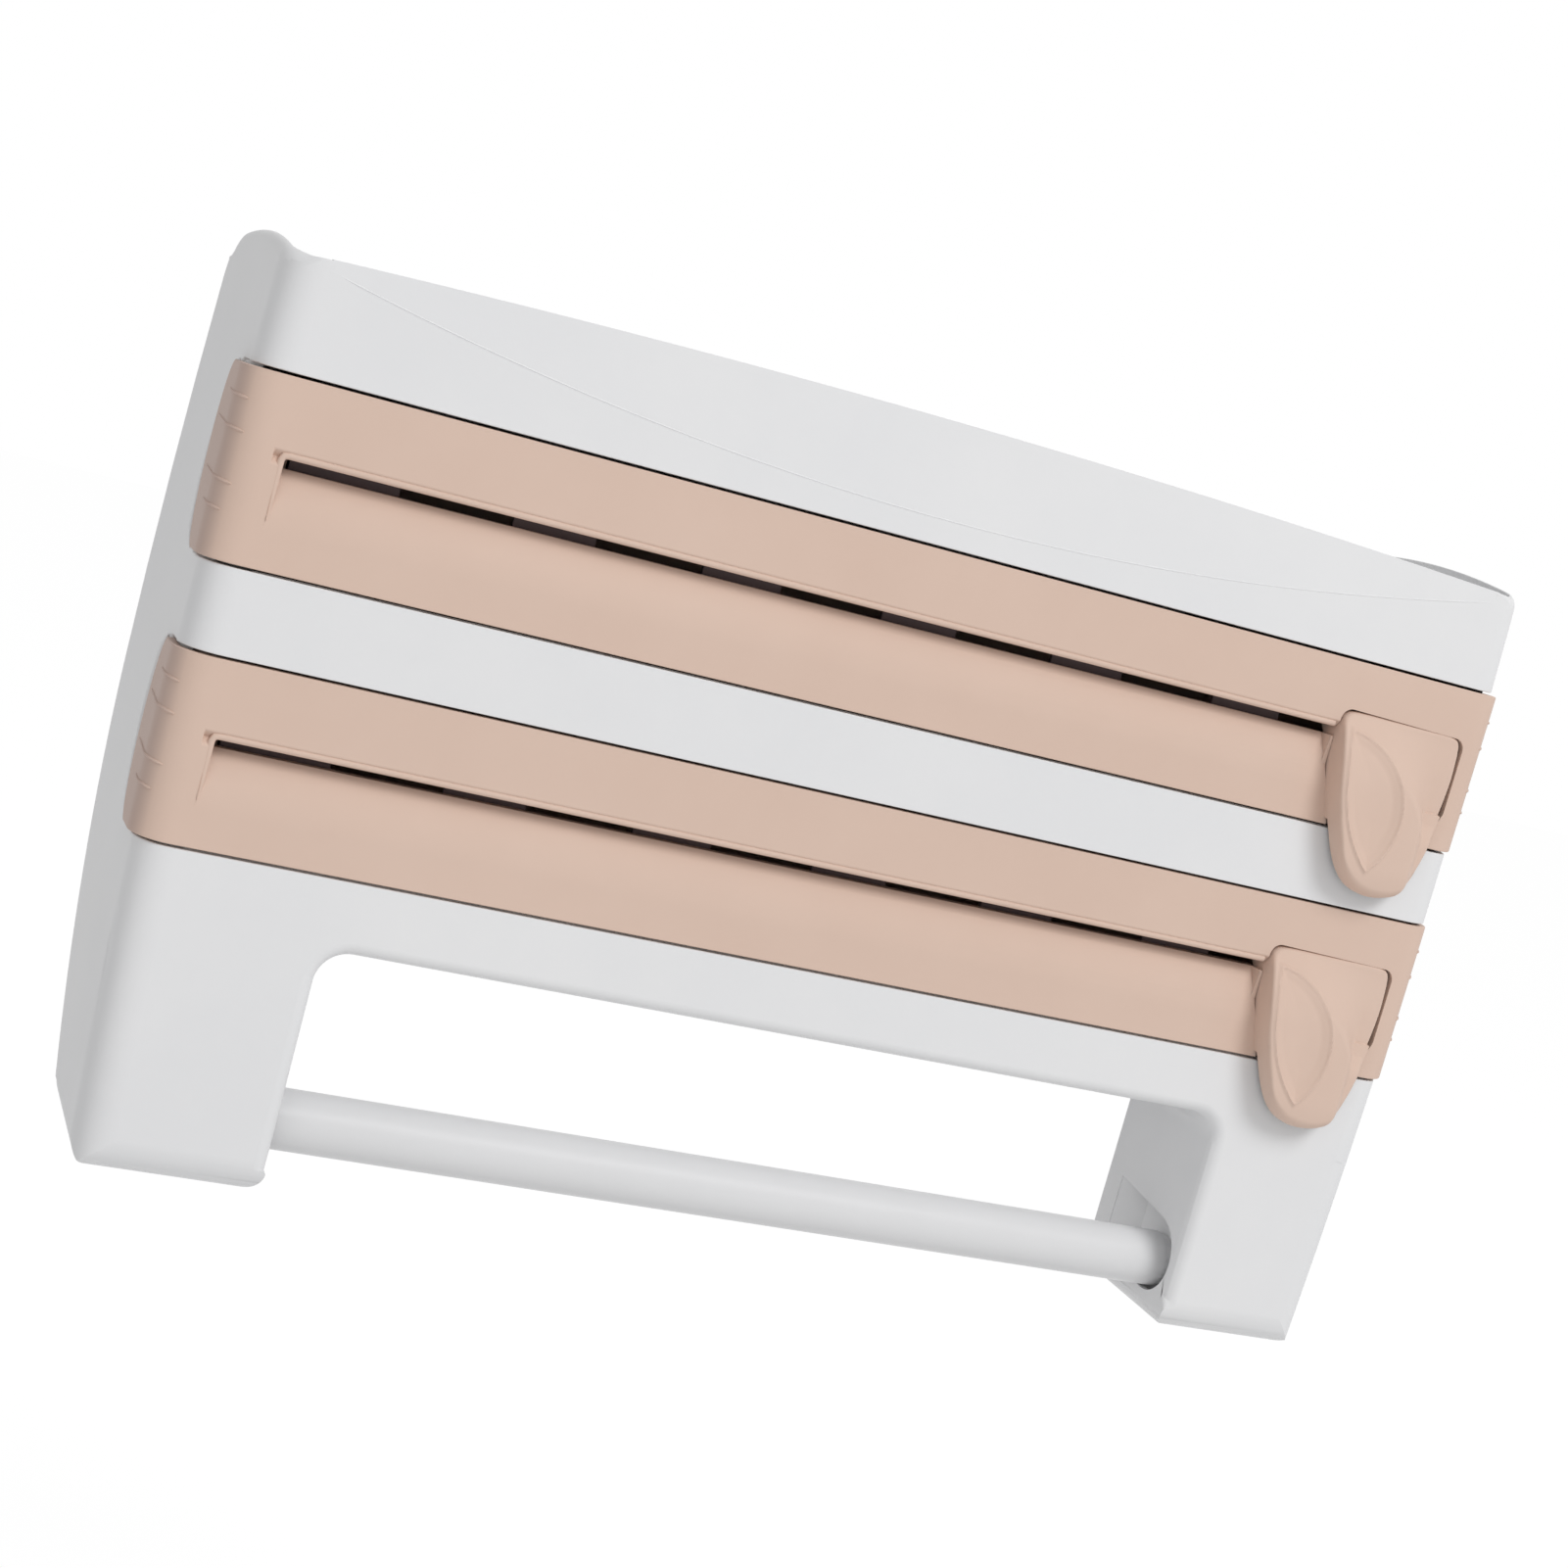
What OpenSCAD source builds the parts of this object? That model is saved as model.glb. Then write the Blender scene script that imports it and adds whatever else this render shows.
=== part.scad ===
// Wall-hung kitchen dispenser for cling film and foil.
// A white housing holds two roll drawers, each with a film slot, a tearing blade
// and a press lever that clamps the film. A spice shelf lies behind the crowned
// front panel, and a towel bar hangs between the two legs.
// +Z is up, the wall is the plane y = 0 and the front looks along -Y. The origin
// lies on the wall plane, midway between the two hanging keyholes.

/* [Housing] */
// Width across the white sides where they are widest
body_w = 397; // [370:1:430]
// Depth from the wall to the front face
body_d = 100; // [96:1:120]
// Wall thickness of the housing
wall = 2.5; // [2.2:0.1:3]
// Height of the front panel above the upper drawer
top_panel_h = 34; // [32:1:60]
// Height of the strip between the drawers
mid_strip_h = 24; // [20:1:40]
// Height of the strip under the lower drawer
low_strip_h = 20.5; // [18:0.5:40]
// Height of the legs below the window
leg_h = 71.1; // [62:0.1:100]
// Width of each leg
leg_w = 55.5; // [48:0.5:66]
// Depth of the inner walls of the legs
leg_wall_d = 55; // [48:1:60]
// Radius of the upright front corners
front_r = 11; // [7:0.5:14]
// Radius of the bulging sides, seen from the front
side_r = 2600; // [1800:50:6000]
// Rise of the front panel's crown
crown_rise = 5; // [2:0.5:9]
// Radius of the upper rear corner of each side
ear_r = 14; // [8:1:20]

/* [Drawers] */
// Height of a drawer
drawer_h = 51.2; // [48:0.2:60]
// Depth of a drawer, whose back is half round
drawer_d = 53.6; // [50:0.2:64]
// Thickness of the drawer's walls
shell = 2.4; // [2:0.1:3]
// How far the drawer's end cheeks stand proud of the widest part of the sides
cheek_proud = 1.2; // [0.6:0.1:2.5]
// Running clearance round a drawer
gap = 0.5; // [0.3:0.05:0.8]
// Height of the flat bar above the film slot
bar_h = 21.2; // [19:0.2:24]
// Height of the film slot
slot_h = 3; // [2.4:0.2:4.5]
// Radius of the rounded lip under the slot
lip_r = 24; // [22:0.5:30]
// Pull-out travel of a drawer
drawer_travel = 55; // [45:1:60]

/* [Press levers] */
// Width of the lever's plate
lever_w = 44.4; // [38:0.2:48]
// How far the thumb rest stands proud of the front
lever_proud = 10.5; // [8:0.5:14]
// How far the thumb rest hangs below the drawer
lever_drop = 17.8; // [12:0.2:20]
// Swing of the lever in degrees
lever_swing = 5; // [3:0.5:5]
// Pitch of the windows in the clamp comb
comb_pitch = 55.8; // [50:0.2:62]
// Width of each window in the clamp comb
comb_window = 32; // [24:1:40]
// Pitch of the blade's teeth
tooth_pitch = 4; // [3:0.5:6]

/* [Towel bar] */
// Outer diameter of the bar
rod_d = 17.5; // [14:0.5:19]
// Depth of the bar's axis behind the front face
rod_depth = 20; // [16:0.5:26]
// Height of the bar's axis above the feet
rod_up = 17.5; // [14.5:0.1:22]
// Rise of the bar's slots towards the back in degrees
rod_slope = 5.7; // [3:0.1:10]

/* [Wall mounting] */
// Distance between the hanging keyholes
key_pitch = 260; // [200:5:300]
// Depth of the keyhole line below the top of the sides
key_drop = 30; // [24:1:40]
// Radius of the keyhole's entry for a screw head
key_entry_r = 4.5; // [4:0.1:5.5]
// Radius of the keyhole's seat for a screw shank
key_seat_r = 2.2; // [1.8:0.1:2.4]

/* [Hidden] */

// Smoothness of small and large arcs
$fn = 64;
fine_fn = 180;
flat_fn = 1440;
// Overrun of every cut
over = 1;

// Colours of the white and the rose plastic, the steel and the dark comb
white_c = [0.88, 0.88, 0.88];
rose_c = [0.83, 0.74, 0.68];
comb_c = [0.42, 0.34, 0.34];
steel_c = [0.70, 0.71, 0.73];

// Heights of the main lines
top_z = key_drop;
upper_z = top_z - top_panel_h;
lower_z = upper_z - drawer_h - mid_strip_h;
window_z = lower_z - drawer_h - low_strip_h;
foot_z = window_z - leg_h;
body_h = top_z - foot_z;
half_w = body_w / 2;
window_half = half_w - leg_w;
// The sides are widest at this height
bulge_z = lower_z;

// Side outline: the back edge leaves the wall at tail_z and sweeps to the feet
tail_share = 0.49;
tail_z = top_z - body_h * (1 - tail_share);
tail_past = 0.8;
tail_back = body_d - leg_wall_d - tail_past;
tail_fall = tail_z - foot_z;
tail_r = (tail_back * tail_back + tail_fall * tail_fall) / (2 * tail_back);
foot_r = 7;
window_r = 9;
toe_r = 11;
// The top of each side dips towards the front corner
ear_arc_r = 340;
ear_peak = 58;
// The crown of the front panel
crown_top = 1.2;
crown_r = (half_w * half_w + crown_rise * crown_rise) / (2 * crown_rise);
// The sides' tops are long arcs that run into the rounded rear corners
ear_arc_z = top_z + crown_top - ear_arc_r;
ear_back = body_d - ear_peak - ear_r;
ear_z = ear_arc_z + sqrt(ear_arc_r * ear_arc_r - ear_back * ear_back);
body_top = top_z + crown_top + over;
// Where a side meets the front panel's top edge, and how far its vertical corners turn
crown_end_z = top_z + crown_top - crown_rise;
crown_end_x = half_w - (crown_end_z - bulge_z) * (crown_end_z - bulge_z) / (2 * side_r);
panel_corner_r = 5;
panel_corner_u = 6;
corner_turn = asin(body_h / side_r);
// The smile-shaped crease on the front panel
crease_up = 8;
crease_sag = 20.5;
crease_half_share = 0.944;
crease_half = half_w * crease_half_share;
crease_r = (crease_half * crease_half + crease_sag * crease_sag) / (2 * crease_sag);
crease_slope = 2.3;
crease_deep = 1.6;

// Levels of the partitions, each carried on ledges along the sides
floor_t = 2;
rest_gap = 0.3;
ledge_t = 1.6;
ledge_w = 5;
ledge_u = 14;
tray_top = upper_z + gap + wall + rest_gap + floor_t;
upper_floor_top = upper_z - drawer_h - rest_gap;
lower_floor_top = lower_z - drawer_h - rest_gap;
partition_back = wall + rest_gap;

// Screws that hold the rear panel
boss_r = 4.5;
boss_len = 20;
screw_r = 1.6;
screw_len = 14;
head_r = 3.2;
head_h = 1.4;
head_sink = 1.6;
boss_in = 9;
panel_bottom = window_z + wall + rest_gap;
boss_zs = [top_z - 2 * boss_in, upper_floor_top - boss_in, lower_floor_top + boss_in + floor_t];

// The cheeks' recesses in the sides and the wall behind them
cheek_x = half_w + cheek_proud;
cheek_in = cheek_x - shell;
pocket_x = cheek_in - gap;
pocket_wall_x = pocket_x - wall;
front_clear = 0.8;
// The housing keeps clear of the screw posts in its corners
corner_clear = 3;

// The drawer's own section: flat front, half-round back
drawer_r = drawer_h / 2;
back_u = drawer_d - drawer_r;
flange_u = 12;
slot_in = 13;
lever_in = 11.5;
slot_left = half_w - slot_in;
slot_right = half_w - lever_in - lever_w;
lip_up = 10.7;
lip_low = drawer_h - lip_up;
bevel = 2;
trough_in = 10.2;
trough_x = pocket_wall_x - trough_in;
trough_t = 1.8;
mouth_front = 15;
mouth_back_share = 0.86;
ridge_r = 0.5;
ridge_pitch = 6.5;
ridge_lens = [8, 15, 15, 8];
ridge_u = 31;

// Runner tongues on the trough and channels on the housing
tongue_h = 8;
run_gap = 0.3;
channel_t = 1.5;
channel_deep = 5.5;
channel_front = 8;
channel_back = body_d - channel_front;
channel_x = pocket_wall_x - channel_deep;
tongue_back = channel_back - channel_t;
tongue_x = pocket_wall_x - channel_t - run_gap;
lug_h = 3;
lug_front = channel_front + lug_h + drawer_travel;

// Screws between the trough's ears and the drawer's front
ear_out = 4.4;
ear_x = trough_x + ear_out;
ear_t = 2;
ear_half = 2.8;
post_top = 8;
post_low = 5.4;
post_u = 4.6;
ear_bs = [post_top, drawer_h - post_low];
post_r = 3.2;
t_screw_r = 1.4;
t_screw_len = 7;
t_head_r = 2.6;
t_head_h = 1.6;

// The tearing blade and the stakes that hold it
blade_u = 5;
blade_t = 0.6;
blade_top = 12;
tooth_h = 1.8;
tooth_in = 0.3;
stake_r = 1.2;
stake_head_r = 2;
stake_head_t = 0.8;
stake_count = 6;
fit = 0.05;
neck_gap = 0.2;

// The lever and comb rock on pins in the trough's end walls
pivot_u = 13;
pivot_up = 15.2;
pivot_b = drawer_h - pivot_up;
pin_r = 2;
pin_boss_r = 4.5;
arm_t = 3;
arm_r = 4.2;
arm_side = 0.6;
pin_in = arm_side + arm_t - neck_gap;
comb_u = 10.9;
comb_t = 1.6;
comb_top = 8;
comb_spine_h = 11;
comb_lap = 2.3;
comb_low = bar_h + slot_h + comb_lap;
comb_in = 50.5;
comb_first = comb_in - slot_left;
comb_count = 6;
comb_spine_t = 2.3;
lever_gap = 0.6;
lever_left = slot_right + lever_gap;
lever_rise = 5.7;
lever_top = bar_h - lever_rise;
lever_right = lever_left + lever_w;
lever_t = 2.2;
lever_rear = 1.5;
lever_slant = 6;
// The rear of the thumb rest keeps clear of the housing when it is pressed
lever_tip_b = drawer_h + lever_drop;
lever_h = lever_tip_b - lever_top;
tip_gap = (lever_tip_b - pivot_b) * sin(lever_swing) + over;
// Circles whose hull is the lever's outline: across, down and radius, as shares
outline_shares = [
    [0.068, 0.056, 0.068], [0.932, 0.070, 0.068], [0.135, 0.327, 0.135], [0.910, 0.430, 0.090],
    [0.739, 0.757, 0.101], [0.536, 0.8355, 0.198], [0.374, 0.794, 0.180]
];
// The face from the flush top edge to the rounded tip: down and proud, as shares
face_shares = [
    [0, 0.02], [0.075, 0.2], [0.16, 0.34], [0.265, 0.5], [0.365, 0.63], [0.477, 0.735],
    [0.626, 0.875], [0.729, 0.985], [0.813, 1], [0.897, 0.92], [0.959, 0.72], [1, 0.42]
];
// Ends and radii of the leaf-shaped hollow: across and down, then the radii
leaf_top_shares = [0.104, 0.101];
leaf_low_shares = [0.387, 0.847];
leaf_r_shares = [0.53, 0.85];
leaf_deep = 0.9;
// The thumb rest's right side falls from its ridge to the valley
ridge_share = 0.71;
valley_share = 0.855;
valley_flat = 1.2;
valley_wall_share = 0.9;

// The lever's return spring
spring_r = 3;
spring_wire = 0.4;
spring_turns = 6;
spring_up = 6.2;
spring_b = drawer_h - spring_up;
spring_x_share = 0.5;
seat_u = 4;
seat_t = 2;
seat_half = 8;
seat_rise = 10;

// The towel bar, its plugs and their slots
rod_r = rod_d / 2;
tube_t = 1.8;
rod_bore_r = rod_r - tube_t;
rod_z = foot_z + rod_up;
rod_y = -body_d + rod_depth;
slot_up = 2.9;
slot_room = 3.4;
slot_r = rod_r + slot_room;
slot_end = 46;
rib_in = 5.5;
rib_x = window_half + rib_in;
rib_t = 2.5;
// Behind the seat a ramp rises to the leg's face, with a fine step at its end
ramp_front = 35.5;
ramp_step = 0.3;
bar_travel = 6;
neck_r = 4.8;
collar_t = 2;
collar_r = rod_r - gap;
plug_in = 22;
plug_head_r = 8;
plug_head_t = 3;
tube_end = rib_x - collar_t - 2 * neck_gap;

// Extrudes an outline drawn in (y, z) along X, centred on x = 0
module along_x(len) rotate([90, 0, 90]) linear_extrude(len, center = true) children();

// Extrudes an outline drawn in (x, z) from y = from towards the wall
module along_y(from, len) translate([0, from + len, 0]) rotate([90, 0, 0]) linear_extrude(len) children();

// Both of a pair, mirrored about x = 0
module both() {
    children();
    mirror([1, 0, 0]) children();
}

// A box given by its low and high corners
module block(lo, hi) translate(lo) cube(hi - lo);

// The material to take off a square corner at the origin to round it
module corner(r) difference() {
    translate([-over, -over]) square(r + over);
    translate([r, r]) circle(r);
}

// Front view of the body: bulging sides and rounded feet
module front_outline(inset, low, high) difference() {
    intersection() {
        translate([half_w - side_r, bulge_z]) circle(side_r - inset, $fn = flat_fn);
        translate([side_r - half_w, bulge_z]) circle(side_r - inset, $fn = flat_fn);
        translate([-body_w, low]) square([2 * body_w, high - low]);
    }
    if (inset == 0) foot_corners();
}

// Outer corners of the feet
module foot_corners() for (s = [-1, 1]) {
    sag = (bulge_z - foot_z) * (bulge_z - foot_z) / (2 * side_r);
    translate([s * (half_w - sag), foot_z]) mirror([s > 0 ? 1 : 0, 0]) corner(foot_r);
}

// Side view of the body
module side_outline() difference() {
    intersection() {
        translate([-body_d, foot_z]) square([body_d, body_top - foot_z]);
        back_outline(0);
    }
    translate([-body_d, foot_z]) corner(toe_r);
}

// Side view of all that lies in front of the back panel's surface, less an inset
module back_outline(inset) {
    translate([-tail_r, tail_z]) circle(tail_r - inset, $fn = flat_fn);
    translate([-body_d, tail_z]) square([body_d - inset, body_h]);
}

// Region above the top edge of the sides
module above_sides() difference() {
    translate([-body_d - over, top_z - 2 * ear_r + over]) square([body_d + 2 * over, 3 * ear_r]);
    difference() {
        translate([ear_peak - body_d, ear_arc_z]) circle(ear_arc_r, $fn = flat_fn);
        translate([0, ear_z]) rotate(180) corner(ear_r);
    }
}

// What the rounded front corners take off, each following its side's bulge
module side_corners(inset) both()
    translate([half_w - side_r, inset - body_d, bulge_z]) rotate([90, corner_turn, 0])
        rotate_extrude(angle = 2 * corner_turn, $fn = flat_fn)
            translate([side_r - inset, 0]) rotate(180) corner(front_r - inset);

// The whole body as a solid
module body_solid() difference() {
    intersection() {
        along_y(-body_d, body_d) front_outline(0, foot_z, body_top);
        along_x(body_w) side_outline();
    }
    side_corners(0);
}

// Everything inside the walls: open at the top, at the back and behind the legs
module body_cavity() difference() {
    along_y(wall - body_d, body_d) front_outline(wall, foot_z + wall, top_z + 2 * ear_r);
    side_corners(wall);
    window_frame();
    along_x(2 * body_w) translate([wall - body_d, foot_z + wall]) corner(toe_r - wall);
}

// The strip's return above the window and the legs' inner walls
module window_frame() {
    wide = window_half + wall;
    block([-wide, -body_d, foot_z - over], [wide, over, window_z + wall]);
}

// The window between the legs
module window_cut() {
    along_y(-body_d - over, body_d + 2 * over) difference() {
        union() {
            translate([-window_half, foot_z - over]) square([2 * window_half, leg_h + over]);
            for (s = [-1, 1]) translate([s * window_half, foot_z])
                mirror([s > 0 ? 0 : 1, 0]) corner(foot_r);
        }
        for (s = [-1, 1]) translate([s * window_half, window_z])
            mirror([s > 0 ? 1 : 0, 0]) mirror([0, 1]) corner(window_r);
    }
    wide = window_half + wall + over;
    block([-wide, leg_wall_d - body_d, foot_z - over], [wide, over, window_z]);
}

// Outline of a drawer's end, grown by a clearance, in (u, -b) from its top front edge
module drawer_outline(grow, front) {
    translate([front, -drawer_h - grow]) square([back_u - front, drawer_h + 2 * grow]);
    intersection() {
        translate([back_u, -drawer_r]) circle(drawer_r + grow, $fn = fine_fn);
        translate([back_u - fit, -2 * drawer_h]) square(3 * drawer_h);
    }
}

// Places a drawer's pieces, drawn from its own top front edge
module at_drawer(z) translate([0, -body_d, z]) children();

// What a drawer takes out of the housing: its opening and the cheeks' recesses
module drawer_cut(z) at_drawer(z) {
    block([-body_w, -over, -drawer_h - gap], [body_w, shell + corner_clear, gap]);
    both() {
        translate([pocket_x + wall, 0, 0]) along_x(2 * wall) drawer_outline(gap, -over);
        translate([pocket_x, shell + corner_clear, -drawer_h - gap]) linear_extrude(drawer_h + 2 * gap)
            mirror([1, 0]) corner(front_r - shell - gap);
    }
}

// Wall behind a cheek's recess, and the band that carries the runner
module cheek_pad(z) at_drawer(z) both() {
    mid = (pocket_wall_x + half_w - wall + over) / 2;
    wide = half_w - wall + over - pocket_wall_x;
    translate([mid, 0, 0]) along_x(wide) intersection() {
        drawer_outline(gap + wall, shell + corner_clear);
        translate([0, -2 * drawer_h]) square([body_d - wall, 3 * drawer_h]);
    }
    block([pocket_wall_x, back_u, -drawer_r - tongue_h],
        [half_w - over, channel_back, tongue_h - drawer_r]);
}

// Ledges along both sides that carry a partition
module ledges(top) both() block(
    [half_w - wall - ledge_w, ledge_u - body_d, top - floor_t - ledge_t],
    [half_w - over, -boss_len, top - floor_t]);

// Bosses for the rear panel's screws
module panel_bosses() both() for (z = boss_zs) {
    x = half_w - wall - boss_in;
    difference() {
        boss_block(x, z);
        translate([x, over, z]) rotate([90, 0, 0])
            cylinder(screw_len + 2 * over + wall, screw_r, screw_r);
    }
}

// A boss and its web to the side, ending on the back panel
module boss_block(x, z) intersection() {
    along_x(body_w) back_outline(wall);
    union() {
        translate([x, 0, z]) rotate([90, 0, 0]) cylinder(boss_len, boss_r, boss_r);
        block([x, -boss_len, z - wall / 2], [half_w - over, 0, z + wall / 2]);
    }
}

// Ramp behind the bar's seat, level with the leg's face at the slot's end
module bar_ramp() {
    x = window_half + ramp_step;
    mid = rod_z + slot_up;
    translate([0, -body_d, mid - slot_r]) linear_extrude(2 * slot_r + 2 * slot_up)
        polygon([[x, slot_end - fit], [x, slot_end + over], [rib_x + over, slot_end + over],
            [rib_x + over, ramp_front], [rib_x - fit, ramp_front]]);
}

// A straight slot with a round front end, in (y, z), rising towards the back
module slot_outline(y, z, r) translate([y, z]) rotate(rod_slope) {
    circle(r);
    translate([0, -r]) square([body_d, 2 * r]);
}

// The slot in a leg's rib in which the plug's neck sits and can be drawn back
module neck_slot() hull() for (t = [0, bar_travel])
    translate([rod_y, rod_z]) rotate(rod_slope) translate([t, 0]) circle(neck_r + neck_gap);

// The front panel's shallow face above the crease
module crease_cut() translate([0, -body_d, upper_z + crease_up + crease_r])
    rotate([-90, 0, 0])
        cylinder(crease_deep, crease_r, crease_r - crease_deep / tan(crease_slope), $fn = flat_fn);

// White moulding: front, sides, legs and the frame of the window
module housing_shell() color(white_c) {
    difference() {
        union() {
            difference() {
                body_solid();
                body_cavity();
            }
            intersection() {
                body_solid();
                union() {
                    cheek_pad(upper_z);
                    cheek_pad(lower_z);
                    ledges(tray_top);
                    ledges(upper_floor_top);
                    ledges(lower_floor_top);
                    panel_bosses();
                    both() block([rib_x, wall / 2 - body_d, foot_z + wall / 2],
                        [rib_x + rib_t, leg_wall_d - body_d, window_z + wall]);
                }
            }
        }
        window_cut();
        drawer_cut(upper_z);
        drawer_cut(lower_z);
        crown_cut();
        difference() {
            along_x(2 * body_w) above_sides();
            block([-body_w, -body_d - 2 * over, foot_z], [body_w, wall - body_d, 2 * top_z]);
        }
        crease_cut();
        both() intersection() {
            block_x(window_half - over, window_half + wall + over)
                slot_outline(rod_y - slot_up, rod_z + slot_up, slot_r);
            block([0, -body_d, foot_z - over], [half_w, slot_end - body_d, window_z]);
        }
        both() block_x(rib_x - over, rib_x + rib_t + over) neck_slot();
    }
    both() bar_ramp();
}

// Extrudes an outline drawn in (y, z) from one x to another
module block_x(from, to) translate([(from + to) / 2, 0, 0]) along_x(to - from) children();

// Trims the front panel to its crown and rounds its top corners
module crown_cut() {
    along_y(-body_d - over, wall + over) difference() {
        translate([-body_w, top_z - 2 * crown_rise]) square([2 * body_w, 4 * crown_rise]);
        translate([0, top_z + crown_top - crown_r]) circle(crown_r, $fn = flat_fn);
    }
    both() along_y(-body_d - over, panel_corner_u + over)
        translate([crown_end_x, crown_end_z]) rotate(180) corner(panel_corner_r);
}

// White back plate with two keyholes and countersunk screw holes
module rear_panel() color(white_c) difference() {
    intersection() {
        along_y(-body_d, body_d) front_outline(wall + rest_gap, panel_bottom, top_z - boss_in);
        along_x(body_w) difference() {
            back_outline(0);
            back_outline(wall);
        }
    }
    for (s = [-1, 1]) translate([s * key_pitch / 2, over, 0]) {
        rotate([90, 0, 0]) cylinder(wall + 2 * over, key_entry_r, key_entry_r);
        translate([0, 0, 2 * key_entry_r]) rotate([90, 0, 0])
            cylinder(wall + 2 * over, key_seat_r, key_seat_r);
        block([-key_seat_r, -wall - 2 * over, 0], [key_seat_r, 0, 2 * key_entry_r]);
    }
    both() for (z = boss_zs) translate([half_w - wall - boss_in, 0, z]) rotate([90, 0, 0]) {
        translate([0, 0, -over]) cylinder(boss_len, screw_r, screw_r);
        translate([0, 0, -over]) cylinder(head_sink + over, head_r + gap, head_r + gap);
    }
}

// Six pan-head screws that hold the rear panel
module panel_screws() color(steel_c) both() for (z = boss_zs)
    translate([half_w - wall - boss_in, -head_sink, z]) rotate([90, 0, 0]) difference() {
        union() {
            cylinder(screw_len, screw_r, screw_r);
            mirror([0, 0, 1]) cylinder(head_h, head_r, head_r - head_h / 2);
        }
        translate([-head_r, -head_h / 4, -head_h - over]) cube([2 * head_r, head_h / 2, head_h / 2 + over]);
    }

// A partition cut to the inside of the housing
module partition(top) difference() {
    intersection() {
        along_y(wall + rest_gap - body_d, body_d) front_outline(wall + rest_gap, top - floor_t, top);
        along_x(body_w) back_outline(partition_back);
    }
    both() block([half_w - wall - front_r, -body_d, foot_z], [half_w, front_r - body_d, top_z]);
}

// White spice tray: a floor with low rims along its back and its front
module spice_tray() color(white_c) {
    partition(tray_top);
    rim_half = half_w - wall - boss_in - boss_r - front_r;
    block([-rim_half, -partition_back - floor_t, tray_top],
        [rim_half, -partition_back, tray_top + ledge_w]);
    block([-rim_half, wall + rest_gap - body_d, tray_top],
        [rim_half, wall + rest_gap + floor_t - body_d, tray_top + ledge_w]);
}

// A drawer bay's floor, with runner ribs under it
module bay_floor(top) {
    pad_half = pocket_wall_x - rest_gap;
    intersection() {
        partition(top);
        block([-pad_half, -body_d, foot_z], [pad_half, 0, top_z]);
    }
    for (s = [-1, 0, 1]) translate([s * half_w / 2, 0, 0])
        block([-floor_t / 2, ledge_u - body_d, top - floor_t - ledge_w],
            [floor_t / 2, -boss_len, top - floor_t / 2]);
}

module upper_bay_floor() color(white_c) bay_floor(upper_floor_top);
module lower_bay_floor() color(white_c) bay_floor(lower_floor_top);

// Channels on both sides in which the drawer's tongues run
module runners() both() difference() {
    block([channel_x, channel_front, -tongue_h / 2 - run_gap - channel_t],
        [pocket_wall_x, channel_back, tongue_h / 2 + lug_h + run_gap + channel_t]);
    block([channel_x - over, channel_front + lug_h, -tongue_h / 2 - run_gap],
        [pocket_wall_x - channel_t, channel_back + over, tongue_h / 2 + lug_h + run_gap]);
    block([channel_x - over, channel_front - over, -tongue_h / 2 - run_gap],
        [pocket_wall_x - channel_t, channel_back, tongue_h / 2 + run_gap]);
}

module upper_runners() color(white_c) at_drawer(upper_z) translate([0, 0, -drawer_r]) runners();
module lower_runners() color(white_c) at_drawer(lower_z) translate([0, 0, -drawer_r]) runners();

// Plan view of a drawer's front, rounded like the housing's corners
module drawer_plan(half, r) difference() {
    translate([-half, 0]) square([2 * half, drawer_d]);
    for (s = [-1, 1]) translate([s * half, 0]) mirror([s > 0 ? 1 : 0, 0]) corner(r);
}

// Rose moulding: flat bar, film slot, rounded lip and the two end cheeks
module drawer_front() {
    difference() {
        intersection() {
            along_x(2 * cheek_x) drawer_outline(0, 0);
            translate([0, 0, -drawer_h]) linear_extrude(drawer_h) drawer_plan(cheek_x, front_r);
        }
        intersection() {
            block([-cheek_in, shell, shell - drawer_h], [cheek_in, body_d, -shell]);
            translate([0, shell, -drawer_h]) linear_extrude(drawer_h)
                drawer_plan(cheek_in, front_r - shell);
        }
        block([-cheek_in, flange_u, -drawer_h - over], [cheek_in, body_d, over]);
        pad_cut();
        slot_cut();
        lever_pocket();
        bar_bevel();
    }
    difference() {
        lip_wall();
        lever_pocket();
    }
    blade_rib();
    screw_posts();
    spring_seat();
    end_ridges();
}

// Clears the top and bottom walls where the housing's pads stand behind the cheeks
module pad_cut() translate([0, shell, -drawer_h - over]) linear_extrude(drawer_h + 2 * over) difference() {
    drawer_plan(cheek_in, front_r - shell);
    drawer_plan(pocket_wall_x - gap, front_r);
}

// Takes the slot and the space in front of the lip out of the front
module slot_cut() {
    block([-slot_left, -over, -bar_h - slot_h], [slot_right, flange_u + over, -bar_h]);
    block_x(-slot_left, slot_right + lever_slant) difference() {
        translate([-over, -lip_low]) square([lip_r + over, lip_low - bar_h]);
        translate([lip_r, -lip_low]) circle(lip_r, $fn = fine_fn);
    }
}

// Bevelled lower edge of the flat bar
module bar_bevel() block_x(-slot_left - bevel, slot_right)
    translate([0, -bar_h]) rotate(45) square(bevel * sqrt(2), center = true);

// Rounded wall under the slot, closed at both ends
module lip_wall() {
    block_x(-slot_left - over, slot_right + lever_slant) lip_outline(lip_r - shell);
    for (x = [-slot_left - shell / 2, slot_right - shell / 2]) block_x(x, x + shell / 2) lip_end();
}

// Section of the lip, down to where it meets the flat front
module lip_outline(inner) intersection() {
    difference() {
        translate([lip_r, -lip_low]) circle(lip_r, $fn = fine_fn);
        translate([lip_r, -lip_low]) circle(inner, $fn = fine_fn);
    }
    translate([0, -lip_low]) square([lip_r, lip_low - bar_h - slot_h]);
}

// Closed end of the recess in front of the lip
module lip_end() translate([shell / 2, -lip_low])
    square([flange_u - ear_t - shell / 2 - gap, lip_low - bar_h - slot_h]);

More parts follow.
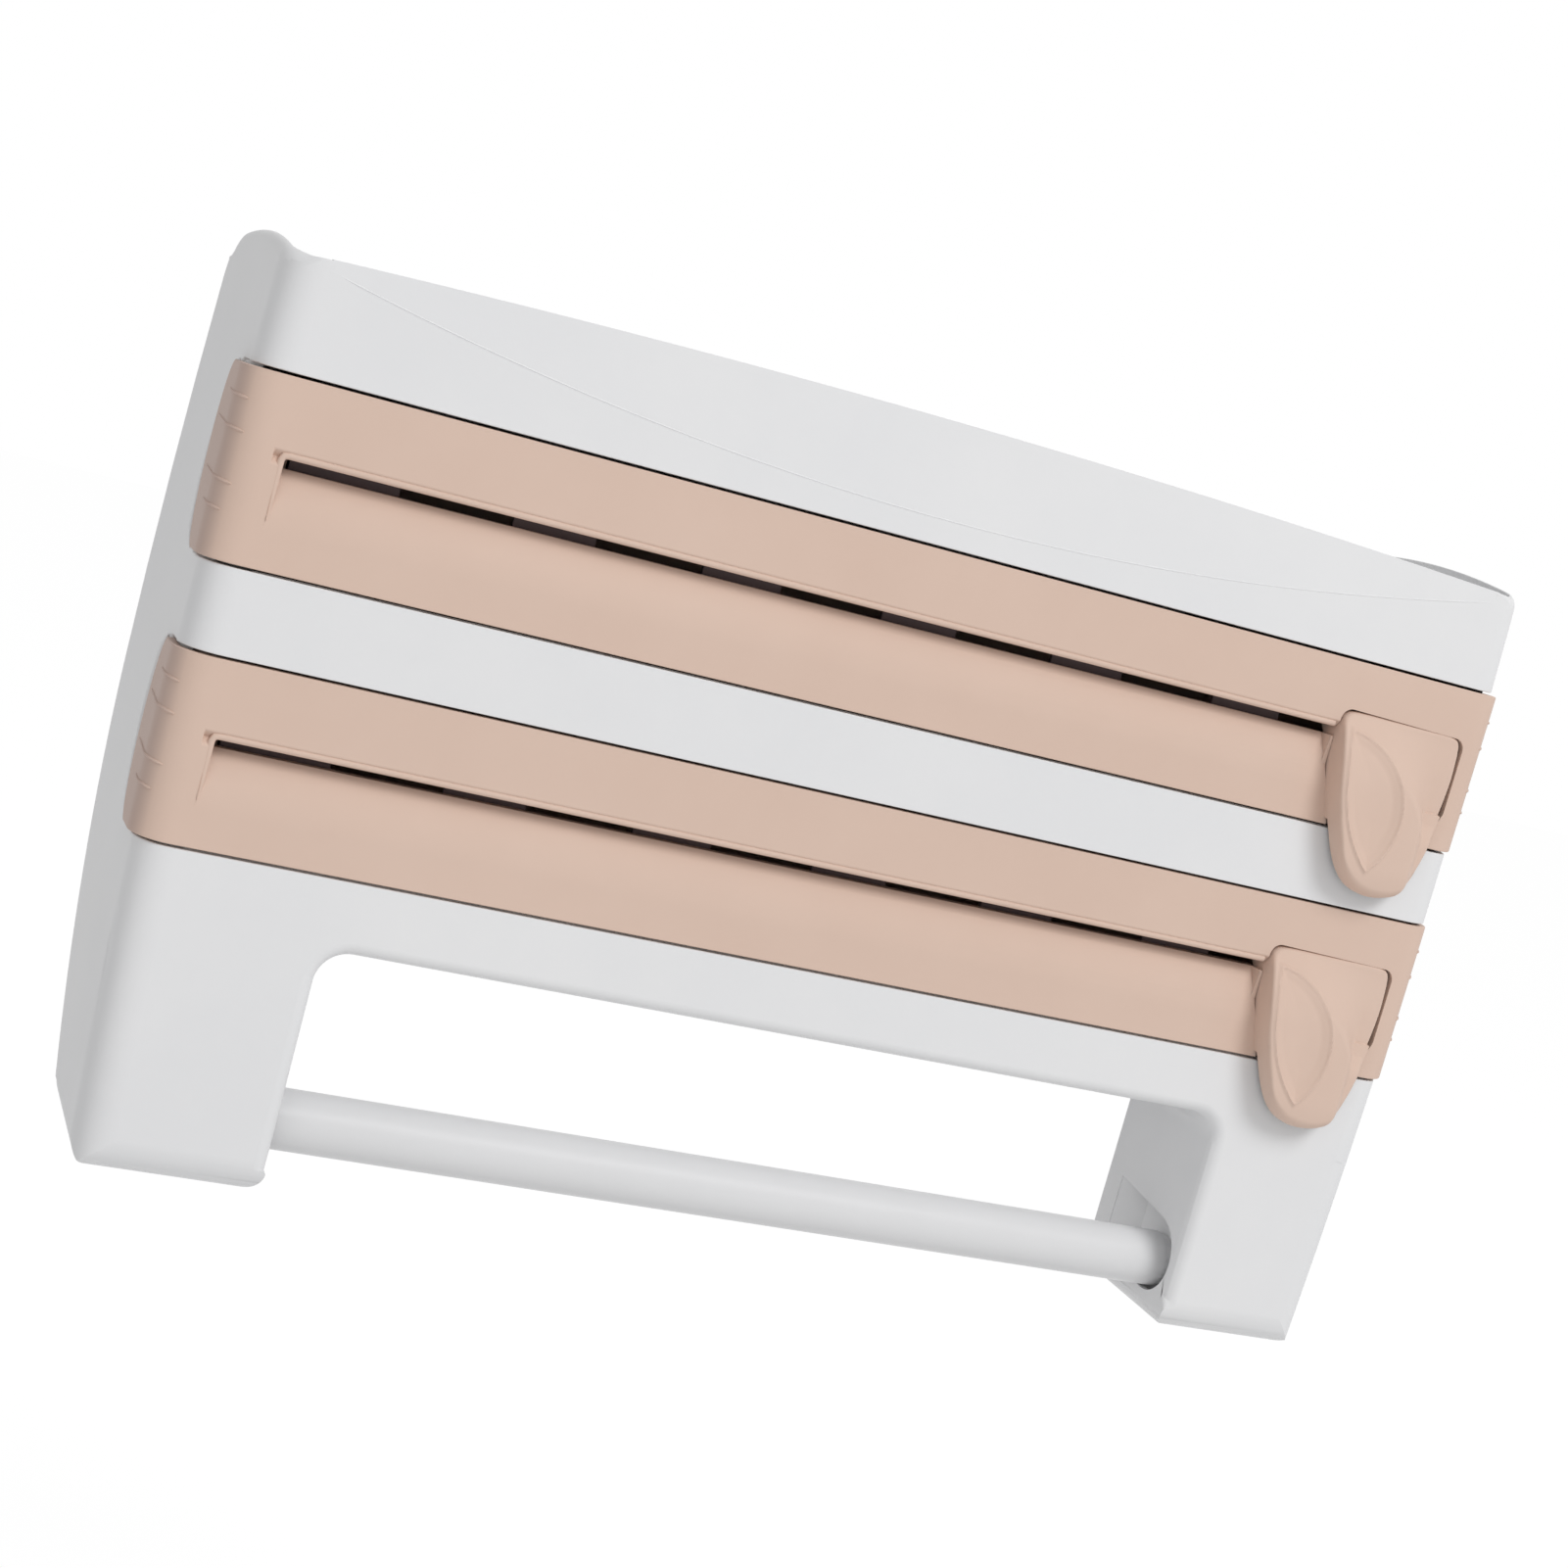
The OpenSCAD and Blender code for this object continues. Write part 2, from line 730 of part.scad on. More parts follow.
// Rib behind the bar that carries the blade on headed stakes
module blade_rib() {
    block([-slot_left, (bevel + shell) / 2, blade_low - bevel], [slot_right, blade_u, blade_low]);
    block([-slot_left, blade_u - shell / 2, blade_low - bevel], [slot_right, blade_u, -blade_top]);
    for (x = stake_xs) translate([x, blade_u - shell / 2, stake_z]) rotate([-90, 0, 0]) {
        cylinder(shell / 2 + blade_t, stake_r, stake_r);
        translate([0, 0, shell / 2 + blade_t]) cylinder(stake_head_t, stake_head_r, stake_r);
    }
}
blade_low = bevel - bar_h;
stake_z = (blade_low - blade_top) / 2;
stake_span = slot_left + slot_right;
stake_xs = [for (i = [0 : stake_count - 1]) -slot_left + stake_span * (i + 0.5) / stake_count];

// Posts inside the front for the trough's screws
module screw_posts() both() {
    post(shell / 2, ear_bs[0]);
    post(post_u, ear_bs[1]);
}

// A post from the depth u to the trough's ear, with its screw's hole
module post(u, b) translate([ear_x, u, -b]) rotate([-90, 0, 0]) difference() {
    cylinder(flange_u - ear_t - u, post_r, post_r);
    translate([0, 0, flange_u - t_screw_len - u - fit]) cylinder(flange_u, t_screw_r, t_screw_r);
}

// The opening for the lever in the front
module lever_pocket() {
    along_y(-over, over + shell + front_clear) lever_outline(-lever_gap);
    intersection() {
        along_y(-over, over + flange_u + over) lever_outline(-lever_gap);
        block([0, -over, shell - drawer_h], [half_w, flange_u + over, 0]);
    }
}

// Upright wall behind the lever that carries its spring
module spring_seat() translate([spring_x, 0, 0])
    block([-seat_half, seat_u, -drawer_h + shell / 2], [seat_half, seat_u + seat_t, seat_rise - drawer_h]);
spring_x = lever_left + lever_w * spring_x_share;

// Grip ridges on both cheeks
module end_ridges() both() for (i = [0 : len(ridge_lens) - 1])
    translate([cheek_x, ridge_u - ridge_lens[i] / 2, ridge_z(i)]) rotate([-90, 0, 0])
        cylinder(ridge_lens[i], ridge_r, ridge_r);
function ridge_z(i) = ((len(ridge_lens) - 1) / 2 - i) * ridge_pitch - drawer_r;

module upper_drawer_front() color(rose_c) at_drawer(upper_z) drawer_front();
module lower_drawer_front() color(rose_c) at_drawer(lower_z) drawer_front();

// Rose cradle for the roll, with end walls, screw ears and runner tongues
module roll_trough() {
    difference() {
        block_x(-trough_x, trough_x) drawer_outline(0, flange_u);
        block_x(-trough_x + shell, trough_x - shell) drawer_outline(-trough_t, flange_u - over);
        block([-trough_x + shell, flange_u - over, -drawer_r * mouth_back_share],
            [trough_x - shell, drawer_d + over, over]);
        block([-trough_x - over, flange_u - over, -shell], [trough_x + over, mouth_front, over]);
        pin_holes(pin_r);
    }
    both() {
        difference() {
            translate([trough_x - shell, pivot_u, -pivot_b]) rotate([0, 90, 0])
                cylinder(shell, pin_boss_r, pin_boss_r);
            pin_holes(pin_r);
        }
        for (b = ear_bs) difference() {
            block([trough_x - shell / 2, flange_u - ear_t, -b - ear_half],
                [ear_x + ear_half, flange_u, ear_half - b]);
            translate([ear_x, 0, -b]) rotate([-90, 0, 0]) cylinder(2 * flange_u, t_screw_r, t_screw_r);
        }
        block([trough_x - shell / 2, flange_u + t_head_h, -drawer_r - tongue_h / 2],
            [tongue_x, tongue_back, tongue_h / 2 - drawer_r]);
        block([channel_x, lug_front, -drawer_r], [tongue_x, tongue_back, tongue_h / 2 + lug_h - drawer_r]);
    }
}

// Bores for the pivot pins
module pin_holes(r) translate([0, pivot_u, -pivot_b]) rotate([0, 90, 0])
    cylinder(body_w, r, r, center = true);

module upper_roll_trough() color(rose_c) at_drawer(upper_z) roll_trough();
module lower_roll_trough() color(rose_c) at_drawer(lower_z) roll_trough();

// Four screws through the trough's ears
module trough_screws() both() for (b = ear_bs) translate([ear_x, flange_u, -b]) rotate([90, 0, 0]) {
    cylinder(t_screw_len, t_screw_r, t_screw_r);
    mirror([0, 0, 1]) cylinder(t_head_h, t_head_r, t_head_r - t_head_h / 2);
}

module upper_trough_screws() color(steel_c) at_drawer(upper_z) trough_screws();
module lower_trough_screws() color(steel_c) at_drawer(lower_z) trough_screws();

// Steel strip with a saw-tooth lower edge, holed for the stakes
module cutter_blade() {
    left = rest_gap - slot_left;
    count = floor((slot_right - rest_gap - left) / tooth_pitch);
    right = left + count * tooth_pitch;
    tip = tooth_in - bar_h;
    teeth = [for (i = [0 : count - 1], s = [0, 1])
        [left + (i + s / 2) * tooth_pitch, s == 0 ? tip + tooth_h : tip]];
    difference() {
        translate([0, blade_u + blade_t, 0]) rotate([90, 0, 0]) linear_extrude(blade_t)
            polygon(concat([[left, -blade_top]], teeth, [[right, tip + tooth_h], [right, -blade_top]]));
        for (x = stake_xs) translate([x, 0, stake_z]) rotate([-90, 0, 0])
            cylinder(2 * blade_u + blade_t, stake_r + fit, stake_r + fit);
    }
}

module upper_cutter_blade() color(steel_c) at_drawer(upper_z) cutter_blade();
module lower_cutter_blade() color(steel_c) at_drawer(lower_z) cutter_blade();

// Two steel pins on which the comb and the lever rock
module pivot_pins() both() translate([trough_x - shell - pin_in, pivot_u, -pivot_b]) rotate([0, 90, 0])
    cylinder(pin_in + shell, pin_r, pin_r);

module upper_pivot_pins() color(steel_c) at_drawer(upper_z) pivot_pins();
module lower_pivot_pins() color(steel_c) at_drawer(lower_z) pivot_pins();

// Comb that clamps the film behind the lip, with an arm at each end
module clamp_comb() difference() {
    arm_x = trough_x - shell - arm_side;
    union() {
        difference() {
            block([-arm_x, comb_u, -comb_low], [arm_x, comb_u + comb_t, -comb_top]);
            for (i = [0 : comb_count - 1]) translate([comb_first + i * comb_pitch, 0, 0])
                block([-comb_window / 2, comb_u - over, -comb_low - over],
                    [comb_window / 2, comb_u + comb_t + over, -comb_top - comb_spine_h]);
        }
        block([-arm_x, comb_u, -comb_top - comb_t], [arm_x, comb_u + comb_spine_t + comb_t, -comb_top]);
        both() {
            translate([arm_x, pivot_u, -pivot_b]) rotate([0, -90, 0]) cylinder(arm_t, arm_r, arm_r);
            block([arm_x - arm_t, comb_u, -pivot_b], [arm_x, comb_u + comb_spine_t + comb_t, -comb_top]);
        }
    }
    pin_holes(pin_r + fit);
}

module upper_clamp_comb() color(comb_c) at_drawer(upper_z) clamp_comb();
module lower_clamp_comb() color(comb_c) at_drawer(lower_z) clamp_comb();

// Front view of the lever: a plate that narrows to a rounded thumb rest
module lever_outline(inset) hull() for (c = outline_shares)
    translate([lever_left + lever_w * c[0], -lever_top - lever_h * c[1]]) circle(lever_w * c[2] - inset);

// Side view of the lever: flush at its top, proud at the thumb, with a rounded tip
module lever_side(inset) {
    rear = inset > 0 ? lever_rear + over : lever_rear;
    tip_rear = inset > 0 ? lever_rear + over : -tip_gap;
    polygon(concat(face_points(inset, inset), [
        [tip_rear, inset - lever_tip_b], [tip_rear, shell - drawer_h],
        [rear, shell - drawer_h], [rear, -lever_top - inset]
    ]));
}

// The face's points in (u, z), moved in by one inset and shortened by another
function face_points(inset, short) = [for (p = face_shares)
    [inset - lever_proud * p[1], -lever_top - short - (lever_h - 2 * short) * p[0]]];

// How far the face stands from the front at a depth b below the drawer's top
function face_u(b) = -lever_proud * lookup((b - lever_top) / lever_h, face_shares);

// Rose press lever with its hollow thumb rest and the web to the comb
module press_lever() {
    difference() {
        lever_form(0);
        lever_form(lever_t);
        leaf_cut();
    }
    lever_web();
}

// The lever's outer form, or the hollow inside its wall
module lever_form(inset) difference() {
    intersection() {
        along_y(-2 * lever_proud, 3 * lever_proud) lever_outline(inset);
        block_x(lever_left - over, lever_right + over) lever_side(inset);
    }
    valley_cut(inset);
}

// The thumb rest's right side falls to a plate that is level with the bar
module valley_cut(inset) {
    ridge = lever_left + lever_w * ridge_share - inset / 2;
    valley = lever_left + lever_w * valley_share - inset / 2;
    deep = inset * valley_wall_share;
    translate([0, 0, -lever_tip_b]) linear_extrude(lever_tip_b) polygon([
        [ridge, -2 * lever_proud], [ridge, deep - lever_proud], [valley, deep - valley_flat],
        [lever_right + over, deep], [lever_right + over, -2 * lever_proud]
    ]);
}

// Leaf-shaped hollow for the thumb, as deep all over the curved face
module leaf_cut() {
    top = [lever_left + lever_w * leaf_top_shares[0], -lever_top - lever_h * leaf_top_shares[1]];
    low = [lever_left + lever_w * leaf_low_shares[0], -lever_top - lever_h * leaf_low_shares[1]];
    far = -2 * lever_proud;
    intersection() {
        along_y(far, 3 * lever_proud) intersection() {
            leaf_side(top, low, lever_w * leaf_r_shares[0]);
            leaf_side(low, top, lever_w * leaf_r_shares[1]);
        }
        block_x(lever_left, lever_right)
            polygon(concat([[far, -lever_top]], face_points(leaf_deep, 0), [[far, -lever_tip_b]]));
    }
}

// The circle through two points, which bulges to the left of the way from a to b
module leaf_side(a, b, r) {
    half = (b - a) / 2;
    rise = sqrt(r * r - half * half) / norm(half);
    translate(a + half + rise * [-half[1], half[0]]) circle(r, $fn = fine_fn);
}

// Web behind the plate that is fixed to the comb's right arm
module lever_web() {
    x = trough_x - shell - arm_side - arm_t;
    block_x(x - lever_t, x) polygon([
        [web_u(bar_h), -bar_h], [comb_u - gap, -bar_h], [comb_u - gap, -comb_low - gap],
        [pivot_u + arm_r, -comb_low - gap], [pivot_u + arm_r, -pivot_b], [web_u(pivot_b), -pivot_b]
    ]);
}
function web_u(b) = face_u(b) + lever_t / 2;

module upper_press_lever() color(rose_c) at_drawer(upper_z) press_lever();
module lower_press_lever() color(rose_c) at_drawer(lower_z) press_lever();

// Return spring between the lever's face and its seat, one unbroken coil of wire
module lever_spring() {
    sides = 6;
    rings = 8 * spring_turns;
    from = face_u(spring_b) + lever_t + rest_gap + spring_wire;
    length = seat_u - rest_gap - spring_wire - from;
    function ring(i, s) =
        let (t = 360 * i / 8, a = 360 * s / sides, r = spring_r - spring_wire + spring_wire * cos(a))
        [r * cos(t), from + length * i / rings + spring_wire * sin(a), r * sin(t)];
    points = [for (i = [0 : rings], s = [0 : sides - 1]) ring(i, s)];
    walls = [for (i = [0 : rings - 1], s = [0 : sides - 1], h = [0, 1])
        let (a = i * sides + s, b = i * sides + (s + 1) % sides)
        h == 0 ? [a, b, b + sides] : [a, b + sides, a + sides]];
    ends = [[for (s = [sides - 1 : -1 : 0]) s], [for (s = [0 : sides - 1]) rings * sides + s]];
    translate([spring_x, 0, -spring_b]) polyhedron(points, concat(walls, ends));
}

module upper_lever_spring() color(steel_c) at_drawer(upper_z) lever_spring();
module lower_lever_spring() color(steel_c) at_drawer(lower_z) lever_spring();

// White tube of the towel bar
module towel_bar_tube() color(white_c) translate([0, rod_y, rod_z]) rotate([0, 90, 0]) difference() {
    cylinder(2 * tube_end, rod_r, rod_r, center = true);
    cylinder(2 * tube_end + over, rod_bore_r, rod_bore_r, center = true);
}

// Plug whose spigot carries the tube and whose neck rests in the rib's slot
module bar_plug() translate([0, rod_y, rod_z]) rotate([0, 90, 0]) {
    translate([0, 0, tube_end - plug_in])
        cylinder(plug_in + 2 * neck_gap, rod_bore_r - fit, rod_bore_r - fit);
    translate([0, 0, tube_end + neck_gap]) cylinder(collar_t, collar_r, collar_r);
    translate([0, 0, tube_end]) cylinder(rib_x - tube_end + rib_t + 2 * neck_gap, neck_r, neck_r);
    translate([0, 0, rib_x + rib_t + neck_gap]) cylinder(plug_head_t, plug_head_r, plug_head_r);
}

module left_bar_plug() color(white_c) mirror([1, 0, 0]) bar_plug();
module right_bar_plug() color(white_c) bar_plug();

housing_shell();
rear_panel();
panel_screws();
spice_tray();
upper_bay_floor();
lower_bay_floor();
upper_runners();
lower_runners();
upper_drawer_front();
upper_roll_trough();
upper_trough_screws();
upper_cutter_blade();
upper_pivot_pins();
upper_lever_spring();
upper_clamp_comb();
upper_press_lever();
lower_drawer_front();
lower_roll_trough();
lower_trough_screws();
lower_cutter_blade();
lower_pivot_pins();
lower_lever_spring();
lower_clamp_comb();
lower_press_lever();
towel_bar_tube();
left_bar_plug();
right_bar_plug();
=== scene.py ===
"""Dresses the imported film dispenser: softened mouldings, sculpted levers, finishes, stage and camera."""
import math

import bpy
from bpy.props import FloatProperty, FloatVectorProperty, IntProperty, PointerProperty
from mathutils import Matrix, Vector


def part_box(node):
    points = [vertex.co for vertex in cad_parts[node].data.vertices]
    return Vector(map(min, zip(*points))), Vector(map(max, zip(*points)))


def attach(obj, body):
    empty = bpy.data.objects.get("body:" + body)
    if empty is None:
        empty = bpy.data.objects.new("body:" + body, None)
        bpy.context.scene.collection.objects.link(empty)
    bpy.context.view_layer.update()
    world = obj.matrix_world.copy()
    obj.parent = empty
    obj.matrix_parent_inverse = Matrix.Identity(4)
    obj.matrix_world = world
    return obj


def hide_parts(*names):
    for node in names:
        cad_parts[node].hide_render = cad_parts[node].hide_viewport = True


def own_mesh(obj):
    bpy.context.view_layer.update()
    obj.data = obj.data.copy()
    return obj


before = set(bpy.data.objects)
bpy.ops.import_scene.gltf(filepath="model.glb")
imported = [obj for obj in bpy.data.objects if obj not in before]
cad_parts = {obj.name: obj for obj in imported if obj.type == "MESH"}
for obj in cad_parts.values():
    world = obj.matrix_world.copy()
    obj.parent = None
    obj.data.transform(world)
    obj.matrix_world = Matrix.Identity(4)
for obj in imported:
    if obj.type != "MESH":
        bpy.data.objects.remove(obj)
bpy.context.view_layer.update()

bl_info = {
    "name": "Film Dispenser Dressing",
    "version": (1, 0, 0),
    "blender": (4, 5, 0),
    "location": "3D Viewport > Sidebar > Dispenser",
    "description": "Builds the mouldings, levers and stage over the packed film dispenser",
    "category": "Object",
}

MM = 0.001
# Places nearer than this are one
HAIR = 0.0001
# A copied node merges points this near, and faces turned less than this
MERGE_WITHIN, FLAT_WITHIN = 2e-6, math.radians(0.04)
# The housing's skin, as in the solids: front, half width, radii of bulge and corners
FRONT_Y = -0.100
HALF_WIDTH = 0.1985
SIDE_R = 2.6
CORNER_R = 0.011
# The drawers, as in the solids: tops, height, depth, centre of the round ends, flat bar
UPPER_TOP = -0.004
LOWER_TOP = -0.0792
DRAWER_STEP = UPPER_TOP - LOWER_TOP
DRAWER_H = 0.0512
DRAWER_D = 0.0536
DRAWER_BACK = DRAWER_D - DRAWER_H / 2
BAR_H = 0.0212
BULGE_Z = LOWER_TOP
# Taken off a drawer along its upper and lower seam
SEAM_EXTRA = 0.0003
# Cheeks and recesses: where they begin, and the share of their depth that shows
CHEEK_X = HALF_WIDTH + 0.0012
CHEEK_START = FRONT_Y + CORNER_R + MM
CHEEK_FROM, CHEEK_KEEP = 0.1925, 0.43
RECESS_FROM, RECESS_KEEP = 0.1945, 0.48
# Share of a corner's turn that is even; the rest starts and ends gently
EVEN_TURN = 0.35
# Least cosine of a face to its exact surface: the front, flat parts, the side, corners, drawers' corners
ON_FRONT, ON_FLAT, ON_SIDE, ON_CORNER, ON_CHEEK_CORNER = 0.99999, 0.9999, 0.9997, 0.985, 0.95
# The arc of the front panel's crease, and the slope above it
CREASE_SAG = 0.0205
CREASE_HALF = 0.944 * HALF_WIDTH
CREASE_R = (CREASE_HALF ** 2 + CREASE_SAG ** 2) / (2 * CREASE_SAG)
CREASE_Z = UPPER_TOP + 0.008 + CREASE_R
CREASE_SLOPE = math.tan(math.radians(2.3))


# Settings

def colour_setting(name, description, default):
    return FloatVectorProperty(name=name, description=description, default=default,
                               subtype='COLOR', size=3, min=0, max=1)


def length_setting(name, description, default, low, high):
    return FloatProperty(name=name, description=description, default=default, min=low, max=high,
                         unit='LENGTH', subtype='DISTANCE')


class DispenserColours(bpy.types.PropertyGroup):
    """Colours of the dispenser's plastics and metals"""
    white: colour_setting("White", "Colour of the housing's plastic", (0.80, 0.80, 0.805))
    rose: colour_setting("Rose", "Colour of the drawers and levers", (0.71, 0.54, 0.45))
    comb: colour_setting("Comb", "Colour of the comb behind the slot", (0.16, 0.105, 0.105))
    steel: colour_setting("Steel", "Colour of screws, pins, springs and blades", (0.62, 0.63, 0.65))


class DispenserSizes(bpy.types.PropertyGroup):
    """Edge radii and lever measures of the dispenser"""
    seam_edge: length_setting("Seam Edge", "Radius of the edges along the seams", 0.00045, 0.0001, 0.001)
    window_edge: length_setting("Window Edge", "Radius of the legs' and window's edges", 0.004, 0.001, 0.006)
    lever_wall: length_setting("Lever Wall", "Wall of the hollow press lever", 0.0015, 0.001, 0.003)
    leaf_depth: length_setting("Leaf Depth", "Depth of the thumb hollow", 0.0010, 0.0002, 0.002)
    leaf_rim: length_setting("Leaf Rim", "Height of the rim round the hollow", 0.00062, 0, 0.001)
    wire_sides: IntProperty(
        name="Wire Sides", description="Sides of the spring wire's section", default=12, min=6, max=24)


# Mesh helpers

def settings():
    return bpy.context.scene.dispenser_colours, bpy.context.scene.dispenser_sizes


def clear_selection():
    if bpy.context.mode != 'OBJECT':
        bpy.ops.object.mode_set(mode='OBJECT')
    bpy.ops.object.select_all(action='DESELECT')


def activate(obj):
    clear_selection()
    obj.select_set(True)
    bpy.context.view_layer.objects.active = obj


def edit(obj, elements='FACE', action='DESELECT'):
    """Enters edit mode on one object with nothing selected, or with all of it"""
    activate(obj)
    bpy.ops.object.mode_set(mode='EDIT')
    bpy.ops.mesh.select_mode(type=elements)
    bpy.ops.mesh.select_all(action=action)


def face_outward():
    """Selects the whole edited mesh and turns its normals outward"""
    bpy.ops.mesh.select_all(action='SELECT')
    bpy.ops.mesh.normals_make_consistent(inside=False)


def new_object(name, data):
    """A new object in the scene, at the origin"""
    obj = bpy.data.objects.new(name, data)
    bpy.context.scene.collection.objects.link(obj)
    return obj


def merged_copy(node, name):
    """A merged and tidied copy of a CAD node, at the origin"""
    obj = new_object(name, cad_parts[node].data.copy())
    obj.data.name = name
    obj.data.materials.clear()
    edit(obj, action='SELECT')
    bpy.ops.mesh.remove_doubles(threshold=MERGE_WITHIN)
    bpy.ops.mesh.dissolve_limited(angle_limit=FLAT_WITHIN, delimit={'NORMAL'})
    clear_selection()
    return obj


def edge_facts(obj):
    """For each edge: its middle, and the normals of its faces"""
    mesh = obj.data
    faces_of = {}
    for face in mesh.polygons:
        for key in face.edge_keys:
            faces_of.setdefault(key, []).append(face.normal.copy())
    facts = []
    for e in mesh.edges:
        a, b = (mesh.vertices[i].co for i in e.vertices)
        facts.append(((a + b) / 2, faces_of.get(tuple(sorted(e.vertices)), [])))
    return facts


def round_edges(obj, test, width, segments=3, sharpest=math.radians(24)):
    """Bevels the sharp edges whose middle and normals pass a test"""
    edit(obj, 'EDGE')
    bpy.ops.object.mode_set(mode='OBJECT')
    found = False
    for e, (middle, normals) in zip(obj.data.edges, edge_facts(obj)):
        sharp = len(normals) == 2 and normals[0].angle(normals[1], 0.0) > sharpest
        if sharp and test(middle, normals):
            e.select = found = True
    if not found:
        raise RuntimeError("an edge family was not found on " + obj.name)
    bpy.ops.object.mode_set(mode='EDIT')
    bpy.ops.mesh.bevel(offset=width, offset_type='OFFSET', segments=segments, profile=0.5,
                       affect='EDGES', clamp_overlap=False, loop_slide=True)
    clear_selection()


def apply_modifier(obj, name, kind, **values):
    """Gives an object a modifier with these values and applies it"""
    activate(obj)
    modifier = obj.modifiers.new(name, kind)
    for key, value in values.items():
        setattr(modifier, key, value)
    bpy.ops.object.modifier_apply(modifier=name)


def smooth(obj, degrees=30):
    """Smooth shading in which large flat faces keep their own normals"""
    activate(obj)
    bpy.ops.object.shade_smooth_by_angle(angle=math.radians(degrees))
    apply_modifier(obj, "Flats", 'WEIGHTED_NORMAL', keep_sharp=True, weight=90)
    clear_selection()


def side_ray(at):
    """From the centre of the bulging side's arc to a point"""
    side = 1 if at.x > 0 else -1
    return Vector((at.x - side * (HALF_WIDTH - SIDE_R), 0, at.z - BULGE_Z))


def corner_normal(out, reach, depth):
    """Normal of a side, or of the rounded corner in which it turns to the front"""
    if depth >= 0:
        return out
    quarter = math.pi / 2
    angle = math.atan2(-depth, max(reach, 0))
    turn = quarter * (EVEN_TURN * angle / quarter + (1 - EVEN_TURN) * ease(0, quarter, angle))
    return out * math.cos(turn) + Vector((0, -math.sin(turn), 0))


def side_normal(at):
    """Normal of the housing's bulging side or its rounded corner at a point"""
    ray = side_ray(at)
    return corner_normal(ray.normalized(), ray.length - (SIDE_R - CORNER_R), at.y - (FRONT_Y + CORNER_R))


def cheek_normal(at):
    """Normal of a drawer's cheek or its rounded corner at a point"""
    out = Vector((1 if at.x > 0 else -1, 0, 0))
    return corner_normal(out, abs(at.x) - (CHEEK_X - CORNER_R), at.y - (FRONT_Y + CORNER_R))


def shorten_cheeks(obj, from_x, keep):
    """Draws the rounded ends of the drawers' cheeks, or of their recesses, towards the front"""
    for v in obj.data.vertices:
        level = BULGE_Z - DRAWER_H - MM < v.co.z < UPPER_TOP + MM
        if abs(v.co.x) > from_x and CHEEK_START < v.co.y < FRONT_Y + DRAWER_D + MM and level:
            v.co.y = CHEEK_START + (v.co.y - CHEEK_START) * keep


def skin_normal(at):
    """Normal of the housing's outer skin near a point on its front or its sides"""
    if abs(at.x) < HALF_WIDTH - CORNER_R - 5 * MM:
        return front_normal(at)
    return side_normal(at)


def on_skin(at, near=3 * HAIR):
    """Whether a point lies on the housing's outer skin"""
    if at.y < FRONT_Y + near:
        return True
    out = side_ray(at).length - (SIDE_R - CORNER_R)
    depth = min(at.y - (FRONT_Y + CORNER_R), 0)
    return out >= 0 and abs(math.hypot(out, depth) - CORNER_R) < near


def meets_skin(middle, normals):
    """Whether an edge lies on the outer skin and one of its faces is part of it"""
    return on_skin(middle) and any(n.dot(skin_normal(middle)) > ON_CORNER for n in normals)


def crease_normal(at):
    """Normal of the shallow face above the crease"""
    ray = Vector((at.x, 0, at.z - CREASE_Z)).normalized()
    return -Vector((CREASE_SLOPE * ray.x, 1, CREASE_SLOPE * ray.z)).normalized()


def front_normal(at):
    return Vector((0, -1, 0))


def true_normals(obj, families):
    """Sets exact normals on the faces that lie on known surfaces"""
    mesh = obj.data
    normals = [Vector(corner.vector) for corner in mesh.corner_normals]
    found = set()
    for face in mesh.polygons:
        for i, (near, exact, within) in enumerate(families):
            if near(face.center) and face.normal.dot(exact(face.center)) > within:
                found.add(i)
                for loop in face.loop_indices:
                    normals[loop] = exact(mesh.vertices[mesh.loops[loop].vertex_index].co)
                break
    if len(found) < len(families):
        raise RuntimeError("a smooth face was not found on " + obj.name)
    mesh.normals_split_custom_set(normals)


def finish_piece(obj, body, node, kind):
    """Gives a piece its finish in a material slot and its body, and hides the CAD node that it stands for"""
    obj.data.materials.clear()
    obj.data.materials.append(MATERIALS[kind])
    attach(obj, body)
    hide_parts(node)


def dressed_copy(node, body, kind):
    """A CAD node as a finished piece: merged, smoothed and riding on its body"""
    obj = merged_copy(node, node.title())
    smooth(obj)
    finish_piece(obj, body, node, kind)


def finish_pair(obj, group, tail, kind):
    """Finishes an upper piece and its copy for the lower drawer; returns both"""
    twin = new_object(obj.name.replace("Upper", "Lower"), obj.data.copy())
    twin.data.name = twin.name
    twin.data.transform(Matrix.Translation((0, 0, -DRAWER_STEP)))
    for piece, level in ((obj, "upper_"), (twin, "lower_")):
        finish_piece(piece, level + group, level + tail, kind)
    return obj, twin


# Finishes

def new_group(name, inputs):
    """A node group with these inputs that gives a colour, a roughness and a height"""
    group = bpy.data.node_groups.new(name, 'ShaderNodeTree')
    for label, value in inputs.items():
        kind = 'NodeSocketColor' if isinstance(value, tuple) else 'NodeSocketFloat'
        group.interface.new_socket(label, in_out='INPUT', socket_type=kind).default_value = value
    group.interface.new_socket("Colour", in_out='OUTPUT', socket_type='NodeSocketColor')
    for label in ("Roughness", "Height"):
        group.interface.new_socket(label, in_out='OUTPUT', socket_type='NodeSocketFloat')
    return group, group.nodes.new('NodeGroupInput').outputs, group.nodes.new('NodeGroupOutput').inputs


def feed(tree, sockets, values):
    """Links each of these sockets to another one, or sets it to a number or a colour"""
    for label, value in values.items():
        if isinstance(value, bpy.types.NodeSocket):
            tree.links.new(value, sockets[label])
        else:
            sockets[label].default_value = (*value, 1) if isinstance(value, tuple) else value


def noise(tree, vector, scale, detail=3.0, rough=0.5):
    node = tree.nodes.new('ShaderNodeTexNoise')
    feed(tree, node.inputs, {"Vector": vector, "Scale": scale, "Detail": detail, "Roughness": rough})
    return node.outputs['Fac']


